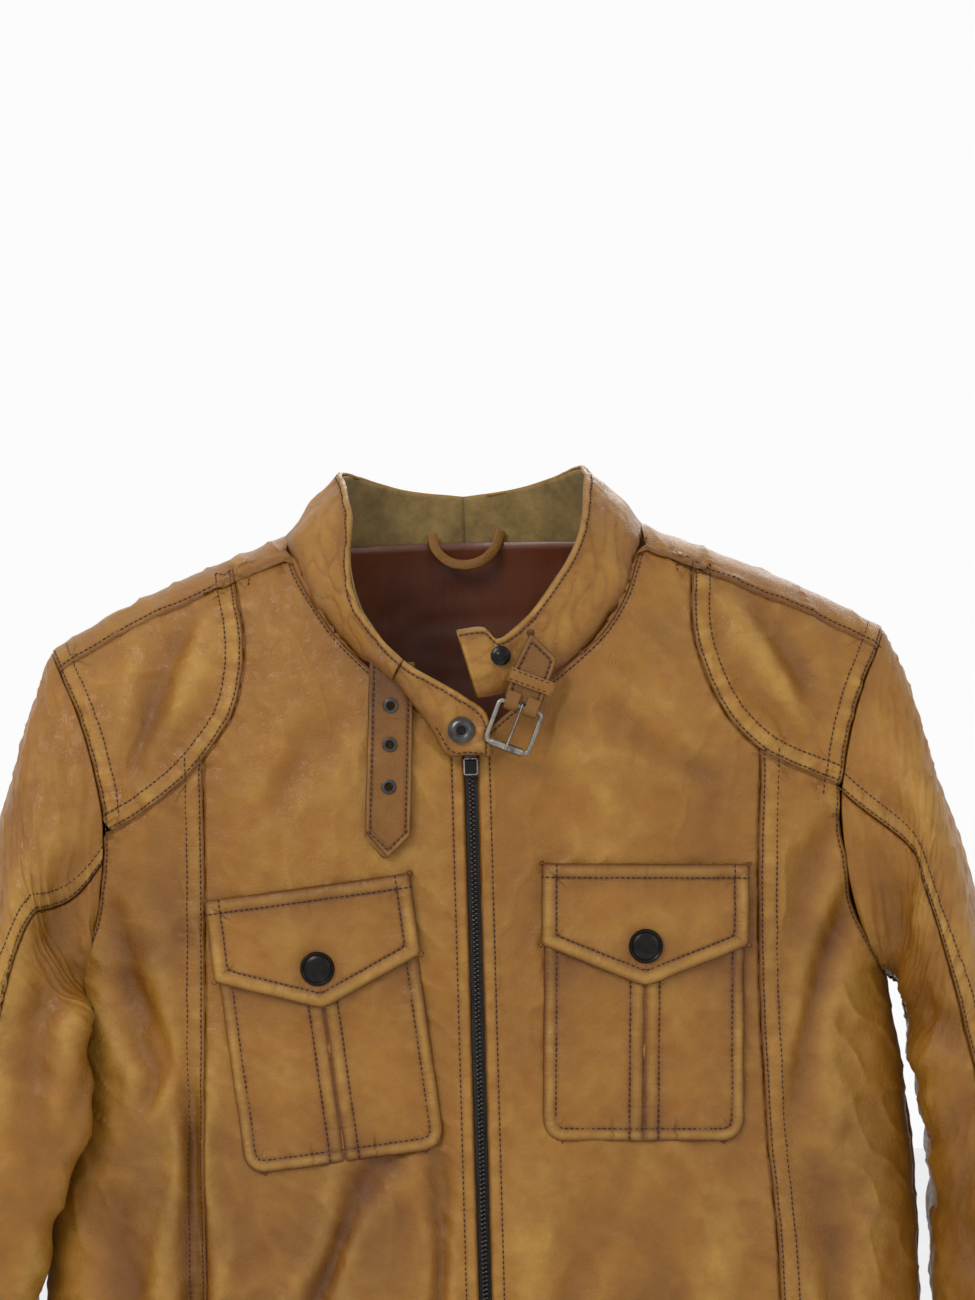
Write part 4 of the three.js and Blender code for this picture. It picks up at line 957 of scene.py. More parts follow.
def sleeve_skin(angle, w, hand):
    """Sleeve points with their folds and seams, their marks and their outward normals."""
    bulge = 1.0 if hand == "R" else 0.15
    tiny = 0.01
    p = sleeve_form(angle, w, bulge)
    turn = sleeve_form(angle + tiny, w, bulge) - sleeve_form(angle - tiny, w, bulge)
    below, above = (sleeve_form(angle, np.clip(w + step, 0, 1), bulge) for step in (tiny, -tiny))
    drop = below - above
    normal = np.cross(turn, drop)
    normal /= np.linalg.norm(normal, axis=-1, keepdims=True) + 1e-9
    middle = sleeve_form(angle + math.pi, w, bulge)
    normal *= np.sign((normal * (p - middle)).sum(-1, keepdims=True))
    rate = np.linalg.norm(turn, axis=-1) / (2 * tiny)
    length = w * SLEEVE_LENGTH
    arc = angle * 52
    seed = 3 if hand == "R" else 8
    height = waves(arc, length * 0.5, 62, seed) * 1.6 * np.clip(w * 6, 0.15, 1)
    height = height + 0.3 * waves(arc, length, 12, seed + 1)
    height = height + (1 - np.abs(np.tanh(1.2 * waves(arc, length * 0.8, 30, seed + 2)))) ** 3 * 0.8
    elbow = hump(w - 0.52, 0.13) * (0.6 - 0.4 * np.cos(angle))
    height = height - 2.6 * elbow * np.abs(np.sin(length / 13 + 0.8 * np.sin(angle * 2))) ** 3
    for line, deep, width in sleeve_folds[hand]:
        gap, along = nearest(p[..., 0], p[..., 2], smooth_line(line, 24))
        gap = gap + 200 * (np.sin(angle) < -0.1)
        whole = polyline(smooth_line(line, 24))[1][-1]
        ends = np.clip(np.minimum(along, whole - along) / (0.3 * whole), 0, 1) ** 0.7
        height = height + ends * deep * (0.5 * hump(np.abs(gap) - 1.9 * width, width) - hump(gap, width))
    height = height * np.clip(length / 16, 0.15, 1)
    # painted shade in fold valleys and on the sleeve's inner side towards the body; painted highlight on fold
    # ridges
    burn = np.clip(0.4 * np.clip(-height / 4, 0, 1) + 0.12 * hump(np.cos(angle) + 1, 0.7), 0, 1)
    rub_and_highlight_amount = 0.65 * np.clip(height / 4, 0, 1)
    run, border = np.zeros(p.shape[:-1]), np.zeros(p.shape[:-1])
    gaps = [((seam_angle(w, hand) - angle) * rate, (ROW_NEAR, ROW_FAR), 1.0, 0.6), (length, (), 0.9, 0.0),
            ((angle + math.pi / 2) * rate, (ROW_NEAR, ROW_FAR), 0.9, 0.5),
            ((2 * math.pi - math.pi / 2 - angle) * -rate, (ROW_NEAR, ROW_FAR), 0.9, 0.5),
            ((CUFF_START - w) * SLEEVE_LENGTH, (2.0,), 0.7, 0.3)]
    for gap, rows, pull, ply in gaps:
        along = length if rows != () and len(rows) > 1 else arc
        part = seam_height(gap, along, rows or (0.01,), seed, pull, ply)
        part = np.where(np.abs(gap) < 30, part, 0)
        height = height + part
        dyed, worn = seam_marks(gap, rows, part, SEAM_SOAK + 1)
        burn, rub_and_highlight_amount = np.maximum(burn, dyed), np.maximum(rub_and_highlight_amount, worn)
        beside = pucker_share(gap, rows or (0.5,), pull)
        run = np.where(beside > border, along, run)
        border = np.maximum(border, beside)
    return p, normal, height, {"burn": burn, "raise": rub_and_highlight_amount, "run": run, "border": border}


def sleeve_bend(item, hand):
    """The sleeve head stays with the shoulder, and the arm swings: the leather between them bends."""
    s = SIDES[hand]
    start, end = world([(s * 206, 0, -105), (s * 300, 0, -151)])
    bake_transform(item, "shell", f"sleeve_{hand}", tuple(start), tuple(end))


def sleeve_piece(name, hand, first, last, w0, w1, us, vs, inset=0.0, material=TAN,
                 thickness=LEATHER):
    s = SIDES[hand]
    w = np.broadcast_to((w0 + (w1 - w0) * vs)[None], (len(us), len(vs)))
    angle = first(w) + (last(w) - first(w)) * us[:, None]
    p, normal, height, marks = sleeve_skin(angle, w, hand)
    p = (p + normal * (height - inset)[..., None]) * (s, 1, 1)
    item = new_piece(name, p.reshape(-1, 3), grid_faces(*angle.shape), material, None, marks)
    score = (item.data.polygons[len(item.data.polygons) // 2]).normal.dot(
        Vector(normal[len(us) // 2, len(vs) // 2] * (s, 1, 1)))
    if score < 0:
        item.data.flip_normals()
    thicken(item, thickness)
    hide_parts(name)
    declare_sheet(name, p)
    apply_wall(item)
    sleeve_bend(item, hand)


def apply_wall(item):
    """Turns the live thickness into the mesh itself, which a bending piece needs."""
    bpy.context.view_layer.update()
    solid = bpy.data.meshes.new_from_object(item.evaluated_get(bpy.context.evaluated_depsgraph_get()))
    solid.name = item.name
    item.modifiers.clear()
    item.data = solid


QUARTER = math.pi / 2


def sleeve_row(angle, w, hand):
    """Keeps one row of stitches, a hair above the sleeve's leather."""
    s = SIDES[hand]
    p, normal, height, _ = sleeve_skin(angle, w, hand)
    row_lines[f"sleeve_{hand}"].append(((p + normal * (height + THREAD_UP)[:, None]) * (s, 1, 1),
                                        normal * (s, 1, 1)))


def back_edge(w):
    return -QUARTER + 0 * w


def back_edge_again(w):
    return 3 * QUARTER + 0 * w


for h in SIDES:
    around_us = packed(175, STEP * 1.15)
    down_vs = packed(600, STEP * 1.3)
    sleeve_piece(f"top_sleeve_{h}", h, back_edge, lambda w, h=h: seam_angle(w, h), 0, CUFF_START,
                 around_us, down_vs)
    sleeve_piece(f"under_sleeve_{h}", h, lambda w, h=h: seam_angle(w, h), back_edge_again, 0,
                 CUFF_START, packed(150, STEP * 1.3), down_vs)
    turn = np.linspace(0, 1, 110)
    sleeve_piece(f"cuff_{h}", h, back_edge, back_edge_again, CUFF_START, 1,
                 turn, packed(46, STEP))
    sleeve_piece(f"sleeve_lining_{h}", h, back_edge, back_edge_again, 0.03, 0.985,
                 np.linspace(0, 1, 60), np.linspace(0, 1, 90), 4.2, SATIN, 0.5)
    for edge, sign in ((lambda w, h=h: seam_angle(w, h), -1), (back_edge, 1)):
        for gap in (ROW_NEAR, ROW_FAR):
            w = np.linspace(0.004, CUFF_START - 0.003, 380)
            angle = edge(w) + sign * gap / 52
            for _ in range(3):
                rate = np.linalg.norm(sleeve_form(angle + 0.01, w, 0) - sleeve_form(angle - 0.01, w, 0),
                                      axis=-1) / 0.02
                angle = edge(w) + sign * gap / rate
            sleeve_row(angle, w, h)
    for w_row in (CUFF_START - 2 / SLEEVE_LENGTH, 1 - 4 / SLEEVE_LENGTH):
        angle = np.linspace(-QUARTER, 3 * QUARTER, 200)
        sleeve_row(angle, np.full(200, w_row), h)
print("sleeves laid")

# %% [markdown]
# ## Linings
# The satin follows the leather a few millimetres inside, with the same folds, so it can't show through.

# %% [markdown]
# ## Laying the lining
# The lining is the same panel rule with a negative base, and it stops short of the armholes.

# %% Body linings
LINING_IN = -5.0
LINING_REACH_Z = [BAND, -300, -180, -124, -100, -70, -30, 10,
                  46]  # heights and half widths the lining reaches
LINING_REACH_X = [217, 215, 211, 197, 188, 181, 178, 184, 192]
for h, s in SIDES.items():
    high = np.vstack([neck_line[h][:-1], [(100, 96), (150, 76), (190, 56)]])
    far = in_shares(list(zip(LINING_REACH_X, LINING_REACH_Z)))
    high_share = in_shares(high)
    far[-1] = high_share[-1]
    near = np.array([(share_of(9, BAND), BAND), high_share[0]])
    low = np.array([near[0], far[0]])
    us, vs = np.linspace(0, 1, 60), np.linspace(0, 1, 120)
    grid = coons_by_share(low, high_share, near, far, us, vs)
    lay_panel(f"lining_front_{h}", s * around(grid[..., 0], grid[..., 1]), grid[..., 1], -1, base=LINING_IN,
              material=SATIN, thickness=0.5, detail=False)
share = np.linspace(-0.94, 0.94, 130)[:, None]
down = np.linspace(0, 1, 130)[None]
across = np.sign(share) * np.sin(np.abs(share) * QUARTER) ** (2 / SECTION)
ceiling = np.minimum(NECK_BACK + 4, ridge(across * 200) - 12)
z = BAND + (ceiling - BAND) * down
x = across * np.interp(z, LINING_REACH_Z, LINING_REACH_X)
lay_panel("lining_back", x, z, 1, base=LINING_IN, material=SATIN, thickness=0.5,
          detail=False)

# %% [markdown]
# ## Collar
# The collar is a band that rises out of the neck seam. The wearer's right end folds down over the zip,
# carries a ring socket, and buttons onto the stud on the left end. A suede facing lines its inside.


# %% Collar band, its folded end and its facing
def seat_on(side, *pairs):
    return [(x, side * float(depth_at(abs(x), z)), z) for x, z in pairs]


BACK_LOW = seat_on(1, (0, 106), (30, 106), (60, 106), (84, 107))
BACK_HIGH = [(0, 47, 133.5), (28, 41, 137), (46, 29, 142), (58, 12, 146.5)]
SHOULDER_LOW, SHOULDER_HIGH = [(93, 3, 113)], [(63, -8, 145)]
collar_low = {
    "L": BACK_LOW + SHOULDER_LOW + seat_on(-1, (89.5, 107), (85.5, 96), (79, 79), (70, 65), (59, 53.5),
                                           (43, 41))
    + [(24, -64, 33), (12, -66.3, 30), (4, -66.6, 29)],
    "R": [(-x, y, z) for x, y, z in BACK_LOW + SHOULDER_LOW]
    + seat_on(-1, (-89.5, 107), (-83, 90), (-74, 75), (-64, 61), (-56, 52))
    + [(-49, -64.2, 48), (-42, -66.6, 43), (-35, -68.4, 36), (-26, -69.8, 24), (-18, -70.2, 12),
       (-12, -70, 1), (-2, -70, 0.6), (7, -70, 0.5)],
}
collar_high = {
    "L": BACK_HIGH + SHOULDER_HIGH + [(62, -26, 136), (60, -42, 119), (55, -52, 103), (46, -58, 89),
                                      (34, -62, 73),
                                      (24, -65, 63.5), (15, -66.4, 58.5), (8, -66.8, 64.5),
                                      (-5.5, -67, 63.5)],
    "R": [(-x, y, z) for x, y, z in BACK_HIGH + SHOULDER_HIGH]
    + [(-60, -28, 137), (-58, -45, 122), (-59, -56, 99), (-55, -61, 79),
                                                 (-50, -63.4, 69), (-43, -65.4, 60), (-36, -67.2, 53),
                                                 (-28, -68.8, 46), (-12, -70.3, 36.5),
                                                 (-1, -70.6, 29.5), (8.6, -70.6, 21.6), (10.6, -70.6, 9),
                                                 (11, -70.6, 0.8)],
}
END_FROM = 0.68  # share of the right band where its folded end starts
FACING_IN = 3.0  # mm from the leather to its suede facing


def collar_grid(hand, us, vs):
    count = 160
    low, high = smooth_line(collar_low[hand], count), smooth_line(collar_high[hand], count)
    places = us * (count - 1)
    foot, top = (np.stack([np.interp(places, np.arange(count), line[:, k]) for k in range(3)], -1)[:, None]
                 for line in (low, high))
    v = vs[None, :, None]
    return foot * (1 - v) + top * v


def rolled(edge, radius):
    """How far a turned edge falls away, from the distance to it."""
    near = np.clip(1 - edge / radius, 0, 1)
    return -radius * (1 - np.sqrt(np.clip(1 - near ** 2, 0, 1)))


def surface_normals(points, away):
    normal = np.cross(np.gradient(points, axis=0), np.gradient(points, axis=1))
    normal /= np.linalg.norm(normal, axis=-1, keepdims=True) + 1e-9
    return normal * np.sign((normal * away).sum(-1, keepdims=True))


def facing_front(points):
    """A direction for each point of a grid, all towards the front."""
    return np.broadcast_to((0.0, -1.0, 0.0), points.shape)


def lay_grid(name, points, away, height, marks, material, body, thickness, flat=None, replaces=True):
    """Lays leather on any grid of points; away points from the grid to its outer side."""
    normal = surface_normals(points, away)
    p = points + normal * height[..., None]
    item = new_piece(name, p.reshape(-1, 3), grid_faces(*points.shape[:2]), material, None, marks)
    middle = item.data.polygons[len(item.data.polygons) // 2]
    i, j = points.shape[0] // 2, points.shape[1] // 2
    if middle.normal.dot(Vector(normal[i, j])) < 0:
        item.data.flip_normals()
    thicken(item, thickness)
    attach(item, body)
    if replaces:
        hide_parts(name)
    declare_sheet(name, points)
    return item, p, normal


def collar_height(points, us, vs, seed):
    run = np.concatenate([[0], np.cumsum(np.linalg.norm(np.diff(points[:, 0], axis=0), axis=1))])[:, None]
    tall = np.linalg.norm(points[:, -1] - points[:, 0], axis=1)[:, None]
    top = (1 - vs)[None] * tall
    low = vs[None] * tall
    height = 1.6 * np.sin(vs * math.pi)[None] + 0.7 * waves(run + 0 * top, top * 1.4, 28, seed)
    height = height + 0.14 * waves(run + 0 * top, top, 9, seed + 1)
    crease = (1 - np.abs(np.tanh(1.6 * waves(run + 0.8 * low, low * 1.3 - 0.3 * run, 24, seed + 2)))) ** 2
    fore = np.clip(-points[..., 1] / 40, 0.25, 1)
    height = height - 0.8 * fore * crease * np.clip(low / 8, 0, 1)
    height = height + rolled(top, 1.7) - 0.8 * hump(low, 1.6)
    height = height - 0.4 * hump(top - 3.2, 0.7) + 0.3 * gathers(run + 0 * top, seed) * hump(top - 3.2, 5)
    # painted shade in the collar's creases and painted highlight on its crowns, beside seam dye at its foot
    # and stitch row
    burn = np.clip(0.75 * hump(low, 6) + 0.6 * hump(top - 3.2, 0.8) + 0.3 * fore * crease
                   + 0.25 * hump(top, 9), 0, 1)
    rub_and_highlight_amount = np.clip(0.7 * hump(top - 0.8, 1.6) + 0.35 * np.clip(height / 2.5, 0, 1), 0, 1)
    marks = {"burn": burn, "raise": rub_and_highlight_amount, "run": run + 0 * top, "border": 0.8 * hump(top - 3, 4)
             + 0.5 * hump(low, 6)}
    return height, marks, top


for h, s in SIDES.items():
    spans = [("collar", 0, 1)] if h == "L" else [("collar", 0, END_FROM), ("collar_end", END_FROM, 1)]
    for name, u0, u1 in spans:
        us = np.linspace(u0, u1, int(190 * (u1 - u0)) + 2)
        vs = packed(30, 0.8)
        points = collar_grid(h, us, vs)
        height, marks, top = collar_height(points, us, vs, 21 if h == "L" else 31)
        if name == "collar_end":
            from_foot = vs[None] * np.linalg.norm(points[:, -1] - points[:, 0], axis=1)[:, None]
            height = height + rolled(from_foot, 1.5) * 0.9
        if h == "L":
            end = np.linalg.norm(np.diff(points, axis=0), axis=-1)
            left = np.flip(np.cumsum(np.flip(np.vstack([end, end[-1:] * 0]), 0), 0), 0)
            height = height + rolled(left, 1.6)
            marks["raise"] = np.maximum(marks["raise"], 0.6 * hump(left - 0.8, 1.6))
        away = np.stack([points[..., 0], points[..., 1] * 1.6, 20 + 0 * points[..., 0]], -1)
        item, p, normal = lay_grid(f"{name}_{h}" if name == "collar" else name, points, away, height,
                                   marks, TAN, "shell", 1.5, replaces=name != "collar")
        if name == "collar":
            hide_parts("collar")
        rise = points[:, -1] - points[:, 0]
        tall = np.linalg.norm(rise, axis=1)
        column = np.array([int(np.argmin(np.abs((1 - vs) * t - 3.2))) for t in tall])
        pick = np.arange(len(us))
        row_lines["shell"].append((p[pick, column] + normal[pick, column] * THREAD_UP, normal[pick, column]))
        if name == "collar_end":
            column = np.array([int(np.argmin(np.abs(vs * t - 3.0))) for t in tall])
            keep = (pick > 26) & (tall > 8)
            p, normal = p[pick, column][keep], normal[pick, column][keep]
            row_lines["shell"].append((p + normal * THREAD_UP, normal))
    us = np.linspace(0, 1 if h == "L" else END_FROM + 0.12, 120)
    vs = np.linspace(0.03, 0.975, 22)
    points = collar_grid(h, us, vs)
    away = -np.stack([points[..., 0], points[..., 1] * 1.6, 20 + 0 * points[..., 0]], -1)
    zero = np.zeros(points.shape[:2])
    facing, _, _ = lay_grid(f"collar_facing_{h}", points, away, zero + FACING_IN,
                            {"burn": zero, "raise": zero},
                            SUEDE, "shell", 1.0, replaces=False)
    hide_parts("collar_facing")
print("collar laid")

# %% [markdown]
# ## Chest pockets
# Each patch pocket has a box seam down its middle and a pointed flap. Their edges are turned under, so
# they roll down to the leather below, and the row inside each edge pulls a soft raised border.


# %% Pockets and flaps
POCKETS = {"R": (-83.5, -63, math.radians(6.4)), "L": (86, -56, math.radians(-2))}
POCKET_HALF, POCKET_LOW, CORNER = 50.5, 139, 12
FLAP_HALF, FLAP_SIDE, FLAP_TIP = 52, 41, 61.5


def pocket_place(hand, across, down):
    x, z, turn = POCKETS[hand]
    c, s = math.cos(turn), math.sin(turn)
    return x + across * c + down * s, z + across * s - down * c


def soft_corner(points, radius):
    """Rounds the corners of an open line."""
    out = [np.asarray(points[0], float)]
    for before, at, after in zip(points[:-2], points[1:-1], points[2:]):
        before, at, after = (np.asarray(v, float) for v in (before, at, after))
        start = at + (before - at) / np.linalg.norm(before - at) * radius
        end = at + (after - at) / np.linalg.norm(after - at) * radius
        for t in np.linspace(0, 1, 9):
            out.append((1 - t) ** 2 * start + 2 * t * (1 - t) * at + t * t * end)
    out.append(np.asarray(points[-1], float))
    return np.array(out)


pocket_rim = soft_corner([(-POCKET_HALF, 3), (-POCKET_HALF, POCKET_LOW), (POCKET_HALF, POCKET_LOW),
                          (POCKET_HALF, 3)], CORNER)
flap_rim = soft_corner([(0, 0), (-FLAP_HALF, 0), (-FLAP_HALF, FLAP_SIDE), (0, FLAP_TIP),
                        (FLAP_HALF, FLAP_SIDE),
                        (FLAP_HALF, 0), (0, 0)], 3)


def inset_row(rim, gap):
    return offset_line(edge_at(rim, np.linspace(0, 1, 260)), gap)


for h, s in SIDES.items():
    down = 3 + (POCKET_LOW - 3) * packed(136, 1.7)
    over = np.clip((down - (POCKET_LOW - CORNER)) / CORNER, 0, 1)
    half = POCKET_HALF - CORNER * 0.86 * (1 - np.sqrt(1 - over ** 2))
    us = np.unique(np.concatenate([packed(101, 1.7),
                                   0.5 + np.array([-8.3, -7.3, -6.3, -1.4, -0.7, 0, 0.7, 1.4, 6.3, 7.3,
                                                   8.3]) / 101]))
    a = (us[:, None] * 2 - 1) * half[None]
    d = np.broadcast_to(down[None], a.shape)
    gap, along = nearest(a, d, pocket_rim)
    edge = np.abs(gap)
    lift = 2.3 + rolled(edge, 2.0) + 0.5 * hump(edge - 3.4, 2.2) - 0.5 * hump(edge - 6.5, 0.8)
    lift = lift + 0.3 * gathers(along, 4) * hump(edge - 6.5, 6)
    lift = lift - 0.9 * hump(a, 0.8) + 0.35 * hump(np.abs(a) - 3.4, 2.4)
    lift = lift - 0.45 * hump(np.abs(a) - 7.3, 0.8) + 0.25 * gathers(d, 6) * hump(np.abs(a) - 4, 6)
    lift = lift + 0.7 * waves(a + 40 * s, d, 36, 15 + s) + 0.2 * waves(a, d, 10, 17 + s)
    x, z = pocket_place(h, a, d)
    height = 0.6 * fold_height(x, z, -1) + lift
    # painted shadow under the flap's lower edge (d near 48), beside seam dye at the rim and box seam; painted
    # highlight on raised parts
    burn = np.clip(0.55 * hump(edge, 1.8) + 0.5 * hump(edge - 6.5, 1.0) + 0.8 * hump(a, 1.4)
                   + 0.5 * hump(np.abs(a) - 7.3, 1.0)
                   + 0.35 * hump(edge, 16) + 0.45 * hump(d - 48, 16) + 0.3 * hump(np.abs(a), 12), 0, 1)
    rub_and_highlight_amount = np.clip(0.65 * hump(edge - 3.2, 2.0) + 0.5 * hump(np.abs(a) - 3.5, 2.0)
                  + 0.25 * np.clip(lift - 2.3, 0, 1), 0, 1)
    points = on_body(x, z, -1, 0.0)
    front = facing_front(points)
    marks = {"burn": burn, "raise": rub_and_highlight_amount, "run": np.where(np.abs(a) < 16, d, along),
             "border": np.maximum(hump(np.maximum(0, edge - 6.5), 4.5),
                                  0.8 * hump(np.maximum(0, np.abs(a) - 7.3), 3.5) * (edge > 9))}
    lay_grid(f"pocket_body_{h}", points, front, height, marks, TAN, "shell", 1.4)
    for row in (inset_row(pocket_rim, -6.5),
                np.array([(-7.3, t) for t in np.linspace(40, POCKET_LOW - 2, 80)]),
                np.array([(7.3, t) for t in np.linspace(40, POCKET_LOW - 2, 80)])):
        row = row[row[:, 1] > 30]
        rx, rz = pocket_place(h, row[:, 0], row[:, 1])
        ra, rd = row[:, 0], row[:, 1]
        near_rim, along = nearest(ra, rd, pocket_rim)
        e = np.abs(near_rim)
        up = 2.3 + 0.5 * hump(e - 3.4, 2.2) - 0.5 * hump(e - 6.5, 0.8)
        up = up - 0.45 * hump(np.abs(ra) - 7.3, 0.8) + rolled(e, 2.0)
        up = up + 0.7 * waves(ra + 40 * s, rd, 36, 15 + s) + 0.6 * fold_height(rx, rz, -1)
        up = up + 0.3 * gathers(along, 4) * hump(e - 6.5, 6) + 0.25 * gathers(rd, 6) * hump(np.abs(ra) - 4, 6)
        base, top = on_body(rx, rz, -1, up + 0.2), on_body(rx, rz, -1, up + 1.2)
        row_lines["shell"].append((base, top - base))

    us = np.unique(np.concatenate([packed(104, 1.7), [0.5]]))
    vs = packed(50, 1.5)
    a = (us[:, None] * 2 - 1) * FLAP_HALF + 0 * vs[None]
    foot = FLAP_TIP - (FLAP_TIP - FLAP_SIDE) * np.abs(us * 2 - 1) - 1.1 * hump(us - 0.5, 0.03)
    d = foot[:, None] * vs[None]

    def flap_lift(a, d):
        gap, along = nearest(a, d, flap_rim)
        edge = np.abs(gap)
        lift = 4.4 + 1.3 * np.clip(d / 50, 0, 1) + rolled(edge, 2.0)
        lift = lift + 0.6 * hump(edge - 3.6, 2.4) - 0.5 * hump(edge - 7.5, 0.8)
        lift = lift + 0.34 * gathers(along, 9) * hump(edge - 7.5, 6) + 0.6 * waves(a - 30 * s, d, 30, 25 + s)
        lift = lift - 1.0 * hump(np.hypot(a, d - 41), 11) + 0.5 * hump(np.hypot(a, d - 41) - 15, 5)
        return lift, edge, along

    lift, edge, along = flap_lift(a, d)
    x, z = pocket_place(h, a, d)
    height = 0.6 * fold_height(x, z, -1) + lift
    # painted shade in the dimple round the snap, beside seam dye at the rim; painted highlight on raised
    # parts
    burn = np.clip(0.5 * hump(edge, 1.8) + 0.55 * hump(edge - 7.5, 1.0) + 0.3 * hump(edge, 14)
                   + 0.6 * hump(np.hypot(a, d - 41), 12)
                   + 0.25 * hump(d, 12), 0, 1)
    rub_and_highlight_amount = np.clip(0.7 * hump(edge - 3.4, 2.2) + 0.3 * np.clip(lift - 5, 0, 1), 0, 1)
    points = on_body(x, z, -1, 0.0)
    front = facing_front(points)
    marks = {"burn": burn, "raise": rub_and_highlight_amount, "run": along, "border": hump(np.maximum(0, edge - 7.5), 4.0)}
    lay_grid(f"pocket_flap_{h}", points, front, height, marks, TAN, f"flap_{h}", 1.8)
    grow = 1.0785
    for row in ([(-FLAP_HALF + 0.5, 7), (FLAP_HALF - 0.5, 7)],
                soft_corner([(-FLAP_HALF + 7.5, 1),
                             (-FLAP_HALF + 7.5, FLAP_TIP - 7.5 * grow - 0.394 * (FLAP_HALF - 7.5)),
                             (0, FLAP_TIP - 7.5 * grow),
                             (FLAP_HALF - 7.5, FLAP_TIP - 7.5 * grow - 0.394 * (FLAP_HALF - 7.5)),
                             (FLAP_HALF - 7.5, 1)], 3)):
        line = edge_at(np.asarray(row, float), np.linspace(0, 1, 160))
        up, _, _ = flap_lift(line[:, 0], line[:, 1])
        rx, rz = pocket_place(h, line[:, 0], line[:, 1])
        up = up + 0.6 * fold_height(rx, rz, -1)
        base, top = on_body(rx, rz, -1, up + 0.2), on_body(rx, rz, -1, up + 1.2)
        row_lines[f"flap_{h}"].append((base, top - base))
print("pockets laid")

# %% [markdown]
# ## Metal and straps
# Turned parts (caps, rings, eyelets, roller) are a profile spun round an axis. Bars are round sections
# swept along a path. Flat straps are grids with rolled edges, with faces taken out for their eyelets.


# %% Turned and swept shapes
def frame_of(axis):
    axis = np.asarray(axis, float) / np.linalg.norm(axis)
    other = np.array([0, 0, 1.0]) if abs(axis[2]) < 0.9 else np.array([1.0, 0, 0])
    one = np.cross(axis, other)
    one /= np.linalg.norm(one)
    return one, np.cross(axis, one), axis


def spun(name, profile, centre, axis, material, body, replaces, turns=48):
    """A closed or pole-ended profile of (radius, height) spun round an axis."""
    one, two, up = frame_of(axis)
    angles = np.linspace(0, 2 * math.pi, turns, endpoint=False)
    profile = np.asarray(profile, float)
    rings = [[np.asarray(centre) + up * hgt
              + r * (one * math.cos(t) + two * math.sin(t)) for t in angles] for r, hgt in profile]
    points = np.array(rings).reshape(-1, 3)
    faces = []
    for i in range(len(profile) - 1):
        for j in range(turns):
            k = (j + 1) % turns
            faces.append([i * turns + j, i * turns + k, (i + 1) * turns + k, (i + 1) * turns + j])
    item = new_piece(name, points, faces, material)
    return finish_solid(item, body, replaces)


def finish_solid(item, body, replaces, sharp=40):
    bm = bmesh.new()
    bm.from_mesh(item.data)
    bmesh.ops.remove_doubles(bm, verts=bm.verts, dist=2e-6)
    bmesh.ops.dissolve_degenerate(bm, dist=1e-7, edges=bm.edges)
    bmesh.ops.recalc_face_normals(bm, faces=bm.faces)
    for edge in bm.edges:
        if len(edge.link_faces) == 2 and edge.calc_face_angle(0) > math.radians(sharp):
            edge.smooth = False
    bm.to_mesh(item.data)
    bm.free()
    if body:
        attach(item, body)
    if replaces:
        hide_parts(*replaces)
    return item


def swept(name, path, section, material, body, replaces, closed=False, up=(0, -1, 0), sharp=40):
    """A section of (sideways, up) pairs carried along a path."""
    path = np.asarray(path, float)
    ahead = np.roll(path, -1, 0) - np.roll(path, 1, 0)
    if not closed:
        ahead[0], ahead[-1] = path[1] - path[0], path[-1] - path[-2]
    ahead /= np.linalg.norm(ahead, axis=1, keepdims=True)
    up = np.broadcast_to(np.asarray(up, float), path.shape)
    side = np.cross(ahead, up)
    side /= np.linalg.norm(side, axis=1, keepdims=True)
    upright = np.cross(side, ahead)
    section = np.asarray(section, float)
    points = (path[:, None] + side[:, None] * section[None, :, :1]
              + upright[:, None] * section[None, :, 1:]).reshape(-1, 3)
    n, m = len(path), len(section)
    faces = [[i * m + j, i * m + (j + 1) % m, (i + 1) % n * m + (j + 1) % m, (i + 1) % n * m + j]
             for i in range(n if closed else n - 1) for j in range(m)]
    if not closed:
        faces += [list(range(m))[::-1], [(n - 1) * m + j for j in range(m)]]
    item = new_piece(name, points, faces, material)
    return finish_solid(item, body, replaces, sharp)


def even_marks(item, burn, rub_and_highlight_mark):
    """The same dye with painted shade, and the same rub with painted highlight, over a whole strap."""
    for mark, value in (("burn", burn), ("raise", rub_and_highlight_mark)):
        data = item.data.attributes.new(mark, "FLOAT", "POINT").data
        data.foreach_set("value", np.full(len(data), value, np.float32))


def oval(a, b=None, count=14):
    b = a if b is None else b
    return [(a * math.cos(t), b * math.sin(t)) for t in np.linspace(0, 2 * math.pi, count, endpoint=False)]


# %% [markdown]
# ## Snaps
# A snap is a pressed cap with a turned rim on the flap, and a stud below it on the pocket. The collar's
# snap shows its ring on one end and its dome on the other.

# %% Snap caps, sockets and studs
def seat_at(x, z, lift):
    here = on_body(x, z, -1, lift)
    return here, on_body(x, z, -1, lift + 1) - here


CAP = [(0, 2.5), (2.5, 2.45), (5.0, 2.2), (6.4, 1.8), (6.9, 1.35), (7.1, 1.5), (7.6, 1.85), (8.1, 1.8),
       (8.5, 1.3), (8.6, 0.7),
       (8.3, 0.1), (7.6, 0), (0, 0)]
for h in SIDES:
    x, z = pocket_place(h, 0, 41)
    lift = 4.6 + 0.6 * float(fold_height(np.array([x]), np.array([z]), -1)[0])
    here, out = seat_at(x, z, lift)
    spun(f"flap_snap_cap_{h}", CAP, here, out, BLACKED, f"flap_{h}", [f"flap_snap_cap_{h}"], 56)
    here, out = seat_at(x, z, 2.2)
    spun(f"pocket_snap_stud_{h}", [(0, 1.4), (2.0, 1.4), (2.6, 1.0), (2.7, 0.4), (4.2, 0.3), (4.6, 0),
                                   (0, 0)], here, out, GUNMETAL,
         "shell", [f"pocket_snap_stud_{h}"], 32)
